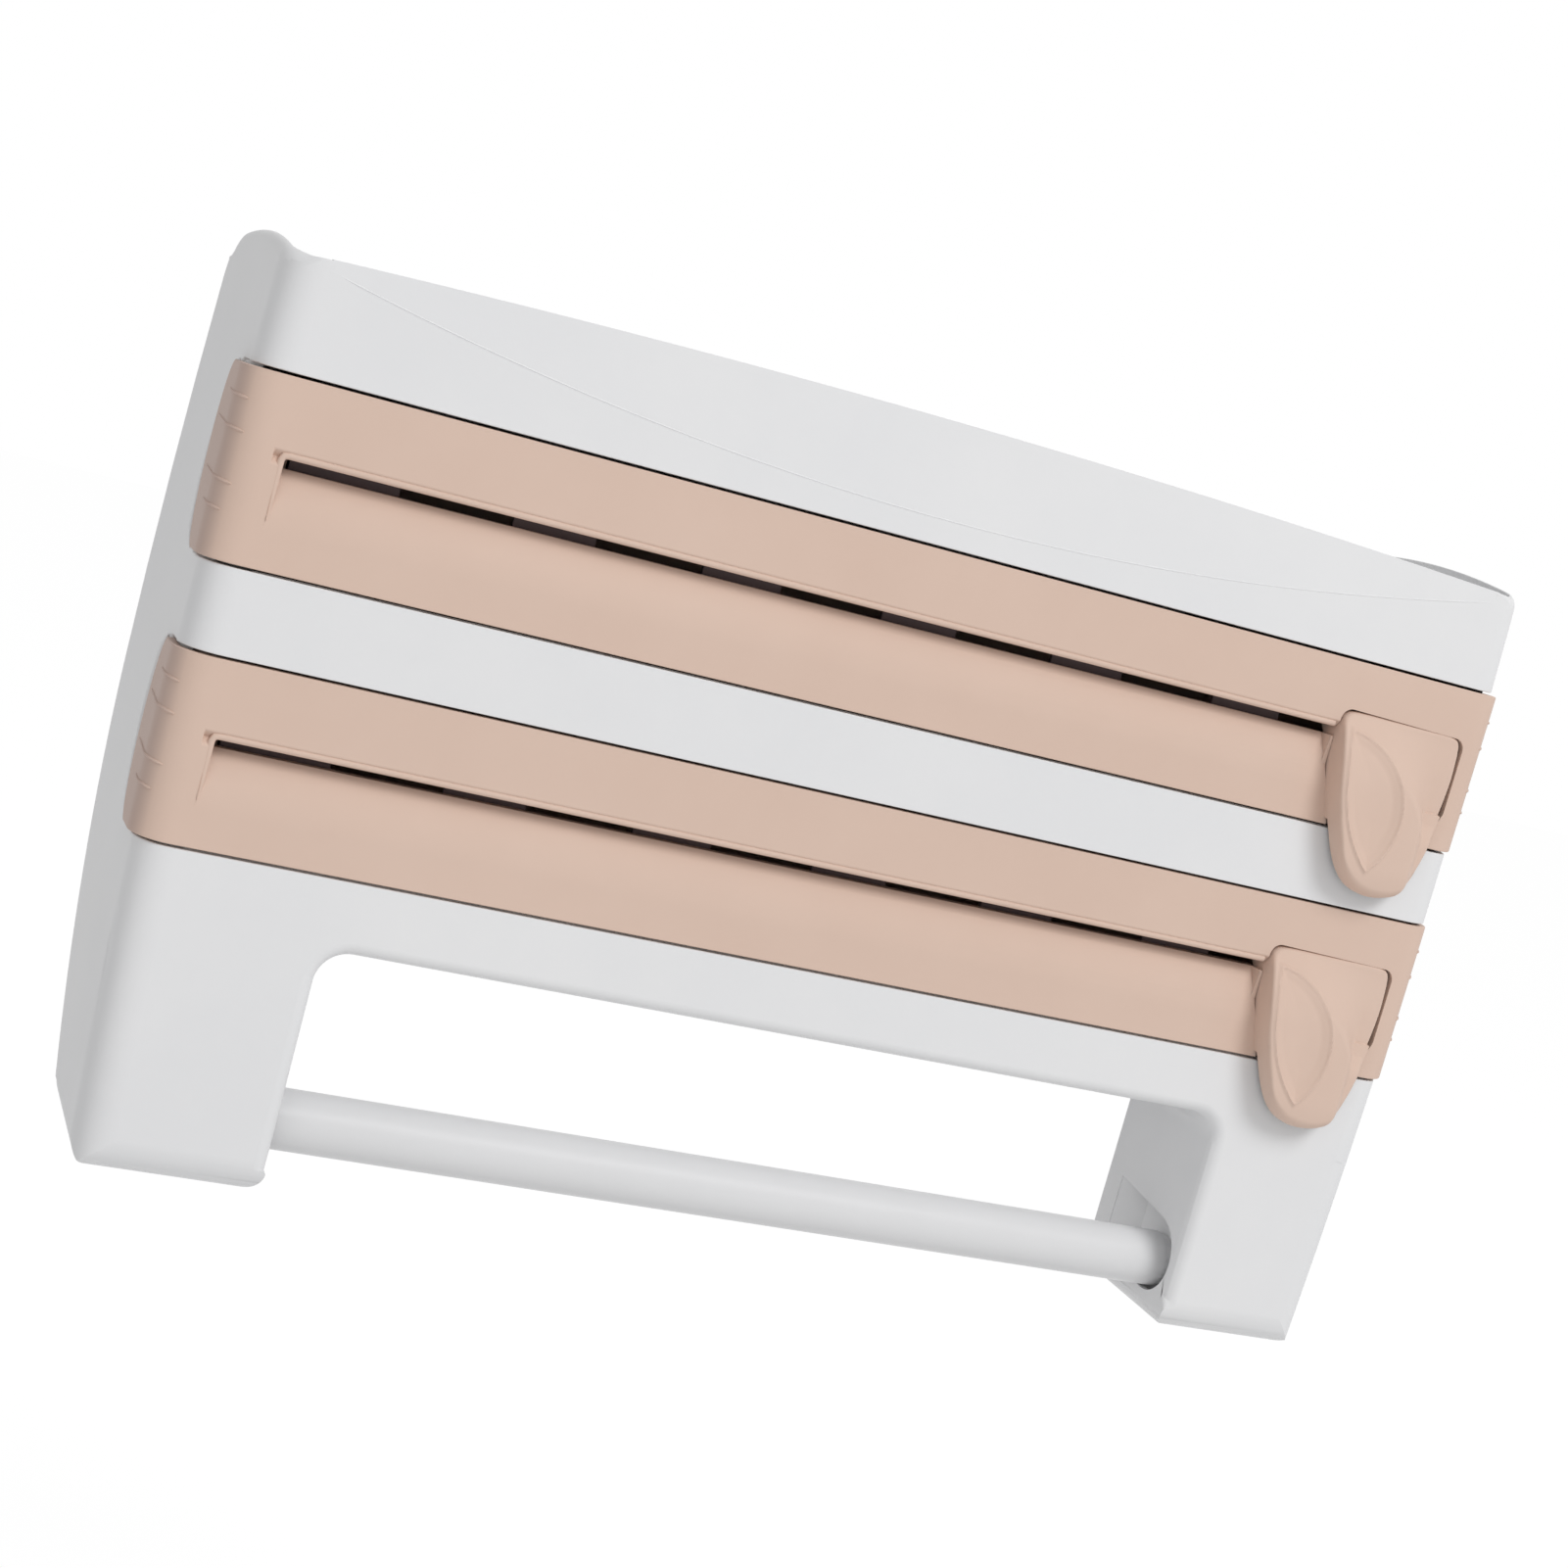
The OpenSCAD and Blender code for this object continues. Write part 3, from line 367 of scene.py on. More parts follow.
def math_node(tree, operation, *values):
    node = tree.nodes.new('ShaderNodeMath')
    node.operation = operation
    feed(tree, node.inputs, dict(enumerate(values)))
    return node.outputs[0]


def span(tree, value, low, high, to_low, to_high):
    node = tree.nodes.new('ShaderNodeMapRange')
    feed(tree, node.inputs, {"Value": value, "From Min": low, "From Max": high,
                             "To Min": to_low, "To Max": to_high})
    return node.outputs['Result']


def mix_colour(tree, factor, a, b, blend='MIX'):
    node = tree.nodes.new('ShaderNodeMix')
    node.data_type = 'RGBA'
    node.blend_type = blend
    colours = [socket for socket in node.inputs if socket.type == 'RGBA']
    feed(tree, (node.inputs[0], *colours), {0: factor, 1: a, 2: b})
    return next(socket for socket in node.outputs if socket.type == 'RGBA')


# Where the painted shade on the drawers' ends sets in: there their colour is darkened to stand in for the
# shade on their cheeks
PAINTED_SHADE_FROM, PAINTED_SHADE_TO = 0.1960, 0.1990


def moulded_group():
    """Injection-moulded plastic: slow tone drift, fine texture, faint flow marks and dust, and a painted
    shade that darkens the drawers' ends
    """
    group, given, out = new_group("Moulded Plastic", {
        "Colour": (0.8, 0.8, 0.8, 1), "Shade": (0.7, 0.7, 0.7, 1), "Grain Scale": 2200.0,
        "Roughness": 0.4, "Spread": 0.06, "Painted End Shade": (1, 1, 1, 1)})
    place = group.nodes.new('ShaderNodeTexCoord').outputs['Object']
    drift = noise(group, place, 9.0, 3.0)
    flow = noise(group, place, 46.0, 4.0, 0.62)
    grain = noise(group, place, given['Grain Scale'], 2.0, 0.6)
    tone = math_node(group, 'MULTIPLY_ADD', drift, 0.65, math_node(group, 'MULTIPLY', flow, 0.35))
    tone = span(group, tone, 0.38, 0.66, 0.0, 1.0)
    colour = mix_colour(group, tone, given['Shade'], given['Colour'])
    speck = span(group, grain, 0.60, 0.78, 0.0, 0.10)
    colour = mix_colour(group, speck, colour, given['Shade'])
    # Painted shade: past the drawers' ends in x, the colour is multiplied by the end shade, which stands in
    # for the shade on their cheeks
    split = group.nodes.new('ShaderNodeSeparateXYZ')
    group.links.new(place, split.inputs['Vector'])
    away = math_node(group, 'ABSOLUTE', split.outputs['X'])
    painted_shade_share = span(group, away, PAINTED_SHADE_FROM, PAINTED_SHADE_TO, 0.0, 1.0)
    painted_shade_colour = mix_colour(group, 1.0, colour, given['Painted End Shade'], 'MULTIPLY')
    low, high = (math_node(group, 'MULTIPLY_ADD', given['Spread'], share, given['Roughness'])
                 for share in (-0.5, 0.5))
    wear = math_node(group, 'MULTIPLY_ADD', flow, 0.6, math_node(group, 'MULTIPLY', grain, 0.4))
    feed(group, out, {"Colour": mix_colour(group, painted_shade_share, colour, painted_shade_colour),
                      "Roughness": span(group, wear, 0.35, 0.65, low, high), "Height": grain})
    return group


def brushed_group():
    """Rolled or turned steel: long streaks, small tone changes"""
    group, given, out = new_group("Brushed Steel", {
        "Colour": (0.6, 0.6, 0.6, 1), "Shade": (0.5, 0.5, 0.5, 1), "Streak": 900.0})
    place = group.nodes.new('ShaderNodeTexCoord').outputs['Object']
    stretch = group.nodes.new('ShaderNodeMapping')
    stretch.inputs['Scale'].default_value = (0.04, 1.0, 1.0)
    group.links.new(place, stretch.inputs['Vector'])
    streak = noise(group, stretch.outputs['Vector'], given['Streak'], 3.0, 0.6)
    tone = span(group, streak, 0.32, 0.68, 0.0, 1.0)
    feed(group, out, {"Colour": mix_colour(group, tone, given['Shade'], given['Colour']),
                      "Roughness": span(group, streak, 0.3, 0.7, 0.24, 0.40), "Height": streak})
    return group


def finish_material(name, group, colour, shade, values, shader_values, bump, bump_distance=0.0001):
    """A material from one shared group with its own values on a Principled BSDF"""
    material = bpy.data.materials.new(name)
    material.use_nodes = True
    tree = material.node_tree
    shader = tree.nodes['Principled BSDF']
    block = tree.nodes.new('ShaderNodeGroup')
    block.node_tree = group
    relief = tree.nodes.new('ShaderNodeBump')
    feed(tree, block.inputs, {"Colour": colour, "Shade": shade, **values})
    feed(tree, relief.inputs, {"Strength": bump, "Distance": bump_distance,
                               "Height": block.outputs['Height']})
    feed(tree, shader.inputs, {"Base Color": block.outputs['Colour'], "Normal": relief.outputs['Normal'],
                               "Roughness": block.outputs['Roughness'], **shader_values})
    return material


def shade_of(colour, factors):
    return tuple(c * f for c, f in zip(colour, factors))


def build_materials():
    colours, _ = settings()
    plastic, steel = moulded_group(), brushed_group()
    white, rose = tuple(colours.white), tuple(colours.rose)
    comb, metal = tuple(colours.comb), tuple(colours.steel)
    satin = {"IOR": 1.5, "Specular IOR Level": 0.12}
    return {
        "white": finish_material(
            "White Moulding", plastic, white, shade_of(white, (0.965, 0.968, 0.975)),
            {"Grain Scale": 2400.0, "Roughness": 0.42}, satin, 0.10),
        "bar": finish_material(
            "Towel Bar White", plastic, shade_of(white, (0.93, 0.93, 0.935)),
            shade_of(white, (0.90, 0.90, 0.905)), {"Grain Scale": 1800.0, "Roughness": 0.34}, satin, 0.06),
        "rose": finish_material(
            "Rose Moulding", plastic, rose, shade_of(rose, (0.965, 0.955, 0.95)),
            # The rose's end shade is painted shade: it darkens the drawers' cheeks in colour to stand in for
            # the shade that falls on them
            {"Grain Scale": 2600.0, "Roughness": 0.38, "Painted End Shade": (0.84, 0.85, 0.89)},
            {"IOR": 1.5, "Specular IOR Level": 0.02}, 0.10),
        "comb": finish_material(
            "Dark Comb", plastic, comb, shade_of(comb, (0.8, 0.8, 0.82)),
            {"Grain Scale": 1500.0, "Roughness": 0.5, "Spread": 0.08},
            {"IOR": 1.48, "Specular IOR Level": 0.4}, 0.12),
        "steel": finish_material(
            "Bright Steel", steel, metal, shade_of(metal, (0.86, 0.86, 0.87)), {},
            {"Metallic": 1.0}, 0.08, 0.00005),
    }


# Finishes by kind, made in main
MATERIALS = {}


# White mouldings

def bead(name, points, radii, sides=10):
    """A closed round bead through the points, thick as the radii say"""
    points = [Vector(point) for point in points]
    vertices, count = [], len(points)
    across = Vector((1, 0, 0))
    for i, point in enumerate(points):
        way = (points[min(i + 1, count - 1)] - points[max(i - 1, 0)]).normalized()
        if abs(way.x) > 0.9:
            across = Vector((0, 0, 1))
        flat = (across - way * across.dot(way)).normalized()
        up = way.cross(flat)
        for k in range(sides):
            turn = 2 * math.pi * k / sides
            vertices.append(point + radii[i] * (flat * math.cos(turn) + up * math.sin(turn)))
        across = flat
    return stack(name, vertices, sides)


def stack(name, points, n):
    """A closed piece from a stack of rings of n points each"""
    last = len(points) - n
    faces = [(k + i, k + (i + 1) % n, k + n + (i + 1) % n, k + n + i)
             for k in range(0, last, n) for i in range(n)]
    faces += [tuple(range(n)), tuple(range(last, last + n))]
    mesh = bpy.data.meshes.new(name)
    mesh.from_pydata(points, [], faces)
    obj = new_object(name, mesh)
    edit(obj)
    face_outward()
    clear_selection()
    return obj


def distances(points):
    """How far along a path each of its points lies"""
    run = [0.0]
    for a, b in zip(points, points[1:]):
        run.append(run[-1] + math.dist(a, b))
    return run


def join_onto(obj, parts):
    """Joins parts to an object, which stays the one that is kept"""
    clear_selection()
    for part in (*parts, obj):
        part.select_set(True)
    bpy.context.view_layer.objects.active = obj
    bpy.ops.object.join()


# Crease line: steps to each side, distance from the arc's ends, radius, depth of its axis
LINE_STEPS, LINE_END, LINE_R, LINE_SUNK = 30, 0.004, 0.00028, 0.00012
# Rim behind a recess: steps, turn of its ends, radius, and offsets back, out and up
RIM_STEPS, RIM_TURN, RIM_R, RIM_BACK, RIM_OUT, RIM_UP = 24, 78, 0.0009, 0.0014, 0.0005, 0.0007


def crease_line():
    """The fine raised line along the crease of the front panel"""
    reach = math.asin((CREASE_HALF - LINE_END) / CREASE_R)
    points = []
    for i in range(2 * LINE_STEPS + 1):
        turn = reach * (i / LINE_STEPS - 1)
        points.append((CREASE_R * math.sin(turn), FRONT_Y + LINE_SUNK, CREASE_Z - CREASE_R * math.cos(turn)))
    return bead("Crease_Line", points, [0.3 * LINE_R] + [LINE_R] * (len(points) - 2) + [0.3 * LINE_R], 8)


def recess_rims():
    """The raised rim on the housing behind each drawer's rounded end"""
    rims = []
    half = DRAWER_H / 2
    for top in (UPPER_TOP, LOWER_TOP):
        for side in (-1, 1):
            points = []
            for i in range(RIM_STEPS + 1):
                turn = math.radians(RIM_TURN * (2 * i / RIM_STEPS - 1))
                deep = (FRONT_Y + DRAWER_BACK + half * math.cos(turn) - CHEEK_START) * RECESS_KEEP
                z = top - half - (half + RIM_UP) * math.sin(turn)
                points.append((side * (side_reach(z) + RIM_OUT), CHEEK_START + deep + RIM_BACK, z))
            radii = [RIM_R * min(1.0, 0.3 + 0.2 * min(i, RIM_STEPS - i)) for i in range(RIM_STEPS + 1)]
            rims.append(bead("Recess_Rim", points, radii))
    return rims


# The ears on the side walls: foot, peak's height and depth, radii of the arc and the rear corner
EAR_FOOT = 0.0222
EAR_PEAK_Z, EAR_PEAK_U, EAR_ARC_R, EAR_BACK_R = 0.03119, 0.058, 0.340, 0.014
# Width and height of their rounding, and the share of it that goes at the corner
EAR_ROUND = (0.0023, 0.0042)
EAR_FLATTER = 0.85
# Their wall, its thicker rear part, and their overlap with the housing
EAR_WALL, EAR_REAR_WALL, EAR_REAR = 0.0025, 0.0031, 0.080
EAR_OVERLAP = 0.0006
# Its sections behind the corner: depth of the first, step and count, in the arc and in the rear part
EAR_STEPS = ((0.0148, 0.0034, 21), (0.0862, 0.00165, 9))
# The crown: height in the middle, drop to the sides
CROWN_TOP, CROWN_DROP = 0.0312, 0.0052
# The cutter for the plain ears: outside, at the wall, at the corner, above
CUT_PAST, CUT_WALL, CUT_CORNER, CUT_TURN, CUT_TOP = 0.203, 0.1935, 0.1845, -0.0885, 0.036


def side_reach(z):
    """How far the bulging side stands from the middle at a height"""
    return HALF_WIDTH - SIDE_R + math.sqrt(SIDE_R ** 2 - (z - BULGE_Z) ** 2)


def ear_top(u, x):
    """Height of the ear's top edge at a depth, or of the crown where that is higher"""
    z = EAR_PEAK_Z - (u - EAR_PEAK_U) ** 2 / (2 * EAR_ARC_R)
    rear = u + FRONT_Y + EAR_BACK_R
    if rear > 0:
        z -= EAR_BACK_R - math.sqrt(max(EAR_BACK_R ** 2 - rear ** 2, 0.0))
    if u < CORNER_R:
        z = max(z, CROWN_TOP - CROWN_DROP * (x / HALF_WIDTH) ** 2)
    return z


def ear_stations():
    """Plan places along the ear: turn of the corner in degrees, depth, and how far it reaches inward"""
    places = [(90, 0.0, 3 * EAR_OVERLAP), (90, 0.0, 0.0)]
    places += [(90 - 6 * i, CORNER_R * (1 - math.cos(math.radians(6 * i))), 0.0) for i in range(1, 16)]
    return places + [(0, first + step * i, 0.0) for first, step, count in EAR_STEPS for i in range(count)]


def ear_section(turn, u):
    """The ear's section at a station, from foot to foot: depths into the wall and heights"""
    top = ear_top(u, side_reach(EAR_FOOT) - CORNER_R * (1 - math.cos(math.radians(turn))))
    wall = EAR_WALL if u < EAR_REAR else EAR_REAR_WALL
    fullness = 1 - EAR_FLATTER * ease(50, 90, turn)
    across, rise = (size * fullness for size in EAR_ROUND)
    rise = min(rise, top - EAR_FOOT - HAIR)
    section = [(0.0, EAR_FOOT - EAR_OVERLAP), (0.0, EAR_FOOT), (0.0, (EAR_FOOT + top - rise) / 2)]
    for i in range(9):
        bend = math.radians(90 * i / 8)
        section.append((across * (1 - math.cos(bend)), top - rise + rise * math.sin(bend)))
    return section + [(wall, top - 2 * HAIR), (wall, EAR_FOOT - EAR_OVERLAP)]


def rounded_ear(side):
    """The top of one side wall and of its front corner, with its outer edge well rounded"""
    points = []
    for turn, u, inward in ear_stations():
        angle = math.radians(turn)
        section = ear_section(turn, u)
        for depth, z in section:
            radius = CORNER_R - depth - 0.2 * HAIR
            x = side_reach(z) - CORNER_R + radius * math.cos(angle) - inward
            y = FRONT_Y + u if turn == 0 else FRONT_Y + CORNER_R - radius * math.sin(angle)
            points.append((side * x, min(y, -HAIR), z))
    return stack("Ear", points, len(section))


def round_the_ears(obj):
    """Takes the plain ears off the housing's copy and joins on the rounded ones"""
    front, back = FRONT_Y - 2 * MM, MM
    plan = [(CUT_WALL, back), (CUT_PAST, back), (CUT_PAST, front), (CUT_CORNER, front),
            (CUT_CORNER, CUT_TURN), (CUT_WALL, CUT_TURN)]
    cutter, right = (stack("Ear_Cut", [(side * x, y, z) for z in (EAR_FOOT, CUT_TOP) for x, y in plan],
                           len(plan)) for side in (-1, 1))
    join_onto(cutter, [right])
    apply_modifier(obj, "Ears", 'BOOLEAN', operation='DIFFERENCE', solver='EXACT', object=cutter)
    bpy.data.objects.remove(cutter)
    join_onto(obj, [rounded_ear(side) for side in (-1, 1)])


# The window's edges lie below this height and this near the middle
WINDOW_Z, WINDOW_X = -0.150, 0.150
# Depths of the openings' edges and the recesses' round ends, and the radius there
OPENING_DEPTH, RECESS_DEPTH, RECESS_EDGE = 0.060, 0.035, 0.0009


class DISPENSER_OT_housing(bpy.types.Operator):
    """Softens the housing's visible edges and gives it the white plastic"""
    bl_idname = "dispenser.housing"
    bl_label = "Housing"

    def execute(self, context):
        obj = merged_copy("housing_shell", "Housing")
        shorten_cheeks(obj, RECESS_FROM, RECESS_KEEP)
        self.soften(obj)
        round_the_ears(obj)
        join_onto(obj, [*recess_rims(), crease_line()])
        smooth(obj)
        corner_y = FRONT_Y + CORNER_R
        true_normals(obj, [
            (lambda c: c.y < FRONT_Y + 0.1 * HAIR, front_normal, ON_FRONT),
            (lambda c: c.z > 3 * MM and c.y < FRONT_Y + 2 * MM, crease_normal, ON_FLAT),
            (lambda c: abs(c.x) > HALF_WIDTH - 9 * MM and c.y > corner_y, side_normal, ON_SIDE),
            (lambda c: abs(c.x) > HALF_WIDTH - 16 * MM and c.y < corner_y, side_normal, ON_CORNER)])
        finish_piece(obj, "housing", "housing_shell", "white")
        return {'FINISHED'}

    def soften(self, obj):
        """Rounds the edges of the legs and the window, and of the drawers' openings"""
        _, sizes = settings()

        def window_edge(middle, normals):
            return middle.y < FRONT_Y + 4 * HAIR and middle.z < WINDOW_Z and abs(middle.x) < WINDOW_X

        def by_drawers(at):
            return LOWER_TOP - DRAWER_H - MM < at.z < UPPER_TOP + 2 * MM

        def recess_rim(middle, normals):
            rear = CHEEK_START + MM < middle.y < FRONT_Y + RECESS_DEPTH
            return rear and by_drawers(middle) and meets_skin(middle, normals)

        def opening_edge(middle, normals):
            return middle.y < FRONT_Y + OPENING_DEPTH and by_drawers(middle) and meets_skin(middle, normals)

        round_edges(obj, window_edge, sizes.window_edge, 6)
        round_edges(obj, recess_rim, RECESS_EDGE, 3)
        round_edges(obj, opening_edge, sizes.seam_edge, 2)


class DISPENSER_OT_back(bpy.types.Operator):
    """Rear panel, spice tray, bay floors, runners and the panel's screws"""
    bl_idname = "dispenser.back"
    bl_label = "Rear Panel, Tray and Runners"

    def execute(self, context):
        for node in ("rear_panel", "spice_tray", "upper_bay_floor", "lower_bay_floor",
                     "upper_runners", "lower_runners"):
            dressed_copy(node, "housing", "white")
        dressed_copy("panel_screws", "housing", "steel")
        return {'FINISHED'}


# Drawers

# The slot's edges: depth, limits down from the drawer's top, right end, radius
SLOT_DEPTH, SLOT_DOWN, SLOT_RIGHT, SLOT_EDGE = 0.0035, (0.017, 0.0475), 0.142, 0.0004
# The bead round the slot: radius, left and right end
BEAD_R, BEAD_LEFT, BEAD_RIGHT = 0.001, -0.1852, 0.1412
# Grip ridges: distance down, depth of the rear end, turn round the corner, drop; their radius
GRIP_RIDGES = ((0.0083, 0.0160, 45, 0.001), (0.0163, 0.0245, 50, 0.002),
               (0.0300, 0.0245, 50, 0.002), (0.0376, 0.0160, 42, 0.001))
RIDGE_R = 0.0004


class DISPENSER_OT_drawers(bpy.types.Operator):
    """Both rose drawers: softened fronts, troughs, screws, blades and pins"""
    bl_idname = "dispenser.drawers"
    bl_label = "Drawers"

    def execute(self, context):
        pieces = [(self.front(), "drawer_front", "rose")]
        for tail, kind in (("roll_trough", "rose"), ("trough_screws", "steel"), ("cutter_blade", "steel"),
                           ("pivot_pins", "steel")):
            obj = merged_copy("upper_" + tail, "Upper_" + tail.title())
            smooth(obj)
            pieces.append((obj, tail, kind))
        for obj, tail, kind in pieces:
            finish_pair(obj, "drawer", tail, kind)
        return {'FINISHED'}

    def front(self):
        """The drawer's front with flat cheeks, wider seams, soft edges, exact normals and its beads"""
        front = merged_copy("upper_drawer_front", "Upper_Drawer_Front")
        shorten_cheeks(front, CHEEK_FROM, CHEEK_KEEP)
        for v in front.data.vertices:
            v.co.x = max(-CHEEK_X, min(CHEEK_X, v.co.x))
            if v.co.z > UPPER_TOP - HAIR:
                v.co.z -= SEAM_EXTRA
            elif v.co.z < UPPER_TOP - DRAWER_H + HAIR:
                v.co.z += SEAM_EXTRA
        self.soften(front)
        smooth(front)
        corner_y = FRONT_Y + CORNER_R

        def rounded_corner(c):
            across, deep = abs(c.x) - CHEEK_X + CORNER_R, c.y - corner_y
            return across > -HAIR and deep < 0 and math.hypot(across, deep) > CORNER_R - 3 * HAIR

        true_normals(front, [
            (lambda c: c.y < FRONT_Y + 0.1 * HAIR, front_normal, ON_FRONT),
            (lambda c: abs(c.x) > CHEEK_X - HAIR and c.y > corner_y, cheek_normal, ON_FLAT),
            (rounded_corner, cheek_normal, ON_CHEEK_CORNER)])
        self.beads(front)
        return front

    def soften(self, front):
        """Rounds the edges along the seams, round the cheeks and round the slot"""
        _, sizes = settings()

        def outer_edge(middle, normals):
            rise = middle.z - UPPER_TOP + DRAWER_H / 2
            level = abs(abs(rise) - DRAWER_H / 2 + SEAM_EXTRA) < HAIR
            unshortened = (middle.y - CHEEK_START) / CHEEK_KEEP + CHEEK_START - FRONT_Y
            cheek_end = (abs(middle.x) > CHEEK_X - 2 * HAIR and middle.y > CHEEK_START + 3 * MM
                         and math.hypot(unshortened - DRAWER_BACK, rise) > DRAWER_H / 2 - MM)
            return (level or cheek_end) and any(n.y < -0.3 or abs(n.x) > 0.9 for n in normals)

        def slot_edge(middle, normals):
            return (middle.y < FRONT_Y + SLOT_DEPTH and middle.x < SLOT_RIGHT
                    and SLOT_DOWN[0] < UPPER_TOP - middle.z < SLOT_DOWN[1])

        round_edges(front, outer_edge, sizes.seam_edge, 2)
        round_edges(front, slot_edge, SLOT_EDGE, 2)

    def beads(self, front):
        """The bead along the slot's upper edge, fading down its left end, and the grips' ridges"""
        top, y = UPPER_TOP - BAR_H + 0.9 * BEAD_R, FRONT_Y + 0.92 * BEAD_R
        path = [(BEAD_RIGHT, y, top)]
        for right, down in ((2, 0), (0.6, 0.3), (0, 1.6), (0, 9), (0, 19)):
            path.append((BEAD_LEFT + right * BEAD_R, y, top - down * BEAD_R))
        parts = [bead("Slot_Bead", path, [BEAD_R * share for share in (1, 1, 1, 1, 0.9, 0.6)], 14)]
        parts += [self.ridge(side, *measures) for side in (-1, 1) for measures in GRIP_RIDGES]
        for part in parts:
            smooth(part, 40)
        join_onto(front, parts)

    def ridge(self, side, down, rear, last, drop):
        """A ridge that runs forward along the cheek and some way round its corner"""
        points = [(CHEEK_X, FRONT_Y + rear), (CHEEK_X, FRONT_Y + (rear + CORNER_R) / 2)]
        for i in range(8):
            turn = math.radians(last * i / 7)
            points.append((CHEEK_X - CORNER_R * (1 - math.cos(turn)),
                           FRONT_Y + CORNER_R * (1 - math.sin(turn))))
        run = distances(points)
        path = [(side * x, y, UPPER_TOP - down - drop * (r / run[-1] - 0.5))
                for (x, y), r in zip(points, run)]
        radii = [RIDGE_R / 2] + [RIDGE_R] * (len(path) - 2) + [RIDGE_R / 2]
        return bead("Grip_Ridge", path, radii, 8)


# Levers

# Outline of the lever from the front, in mm: across from the middle, down from the drawer's top
LEVER_OUTLINE = [
    (146.6, 15.5), (152, 15.15), (160, 15.15), (168, 15.15), (176, 15.15), (182.8, 15.3), (186.0, 16.6),
    (186.9, 19.6), (187.0, 25), (186.8, 32), (186.3, 39), (185.4, 44), (184.2, 50), (182.8, 56),
    (181, 61), (178.6, 64.9), (174.6, 67.6), (169.6, 69.0), (164, 68.9), (158.7, 67.2), (154.6, 63.8),
    (151.2, 58.6), (148.6, 52.6), (146.4, 47), (144.5, 41), (143.3, 35), (142.8, 29), (142.8, 23),
    (143.3, 18.4), (144.5, 16.6),
]
# How far the thumb rest stands out along its left ridge, by the distance down
LEVER_RISE = [(15.5, 0.0), (17, 0.8), (20, 2.9), (24, 5.3), (29, 7.5), (34.5, 8.9), (41, 9.5), (48, 9.75),
              (56, 9.8), (61, 9.7), (65, 9.2), (69, 8.4)]
# The thumb rest's middle, the cells along its grid, and a distance from the edge well inside it
LEVER_CENTRE = (164.5, 41.0)
LEVER_CELLS = 112
LEVER_INNER = 20.0
# Height of the pins, sine of the press, and where the lever has the housing behind it
LEVER_PIVOT = 36.0
LEVER_SWEEP = math.sin(math.radians(5))
LEVER_LOW, LEVER_LOW_RIGHT = 48.8, (40, 165)
# Air behind the pressed lever, and its least wall there
LEVER_AIR, LEVER_LEAST = 0.5, 0.8
# The rim: its depth, and left of here on the lip, down to the deepest
RIM_REAR, RIM_LIP_X, RIM_ON_LIP, RIM_DEEPEST = 1.5, 150, 1.2, 9.6
# The drawer's lip: radius, and where it meets the front
LIP_R = 24.0
LIP_LOW = 40.5
# The web: corners as depth and distance down, thickness, distance from the comb's end
WEB_CORNERS = [(-2.2, 36.0), (17.2, 36.0), (10.4, 21.2), (0.3, 21.2)]
WEB_WALL, WEB_FROM_END = 2.2, 3.0


def along_table(table, at):
    """Smooth value of a table of (place, value) pairs"""
    if at <= table[0][0]:
        return table[0][1]
    rows = [table[0], *table, table[-1]]
    for before, (a, va), (b, vb), after in zip(rows, rows[1:], rows[2:], rows[3:]):
        if at <= b:
            w = b - a
            t = (at - a) / w
            ga = (vb - before[1]) / (b - before[0])
            gb = (after[1] - va) / (after[0] - a)
            return ((2 * t ** 3 - 3 * t ** 2 + 1) * va + (t ** 3 - 2 * t ** 2 + t) * w * ga
                    + (3 * t ** 2 - 2 * t ** 3) * vb + (t ** 3 - t ** 2) * w * gb)
    return table[-1][1]


def ease(low, high, value):
    t = min(max((value - low) / (high - low), 0.0), 1.0)
    return t * t * (3 - 2 * t)


def closed_curve(points, count):
    """Evenly spaced points on a smooth closed curve through the given ones"""
    dense = []
    for i in range(len(points)):
        p0, p1, p2, p3 = (Vector(points[(i + k) % len(points)]) for k in (-1, 0, 1, 2))
        for k in range(24):
            t = k / 24
            dense.append(0.5 * (2 * p1 + (p2 - p0) * t + (2 * p0 - 5 * p1 + 4 * p2 - p3) * t ** 2
                                + (3 * p1 - p0 - 3 * p2 + p3) * t ** 3))
    reach = distances(dense + dense[:1])
    out, k = [], 0
    for i in range(count):
        want = reach[-1] * i / count
        while reach[k + 1] < want:
            k += 1
        share = (want - reach[k]) / (reach[k + 1] - reach[k])
        out.append(dense[k].lerp(dense[(k + 1) % len(dense)], share))
    return out


def circle_through(*points):
    """Centre and radius of the circle through three points, by complex numbers"""
    a, b, c = (complex(*point) for point in points)
    w = (c - a) / (b - a)
    centre = a - (a - b) * (w - abs(w) ** 2) / 2j / w.imag
    return centre.real, centre.imag, abs(a - centre)


LEAF_TIPS = ((145.6, 20.6), (160.0, 61.2))
LEAF_RIGHT = circle_through(LEAF_TIPS[0], (166.6, 38.5), LEAF_TIPS[1])
LEAF_LEFT = circle_through(LEAF_TIPS[0], (147.9, 45.0), LEAF_TIPS[1])


def leaf_distance(x, b):
    """Signed distance in mm to the leaf's outline, negative inside"""
    return max(math.hypot(x - c[0], b - c[1]) - c[2] for c in (LEAF_RIGHT, LEAF_LEFT))


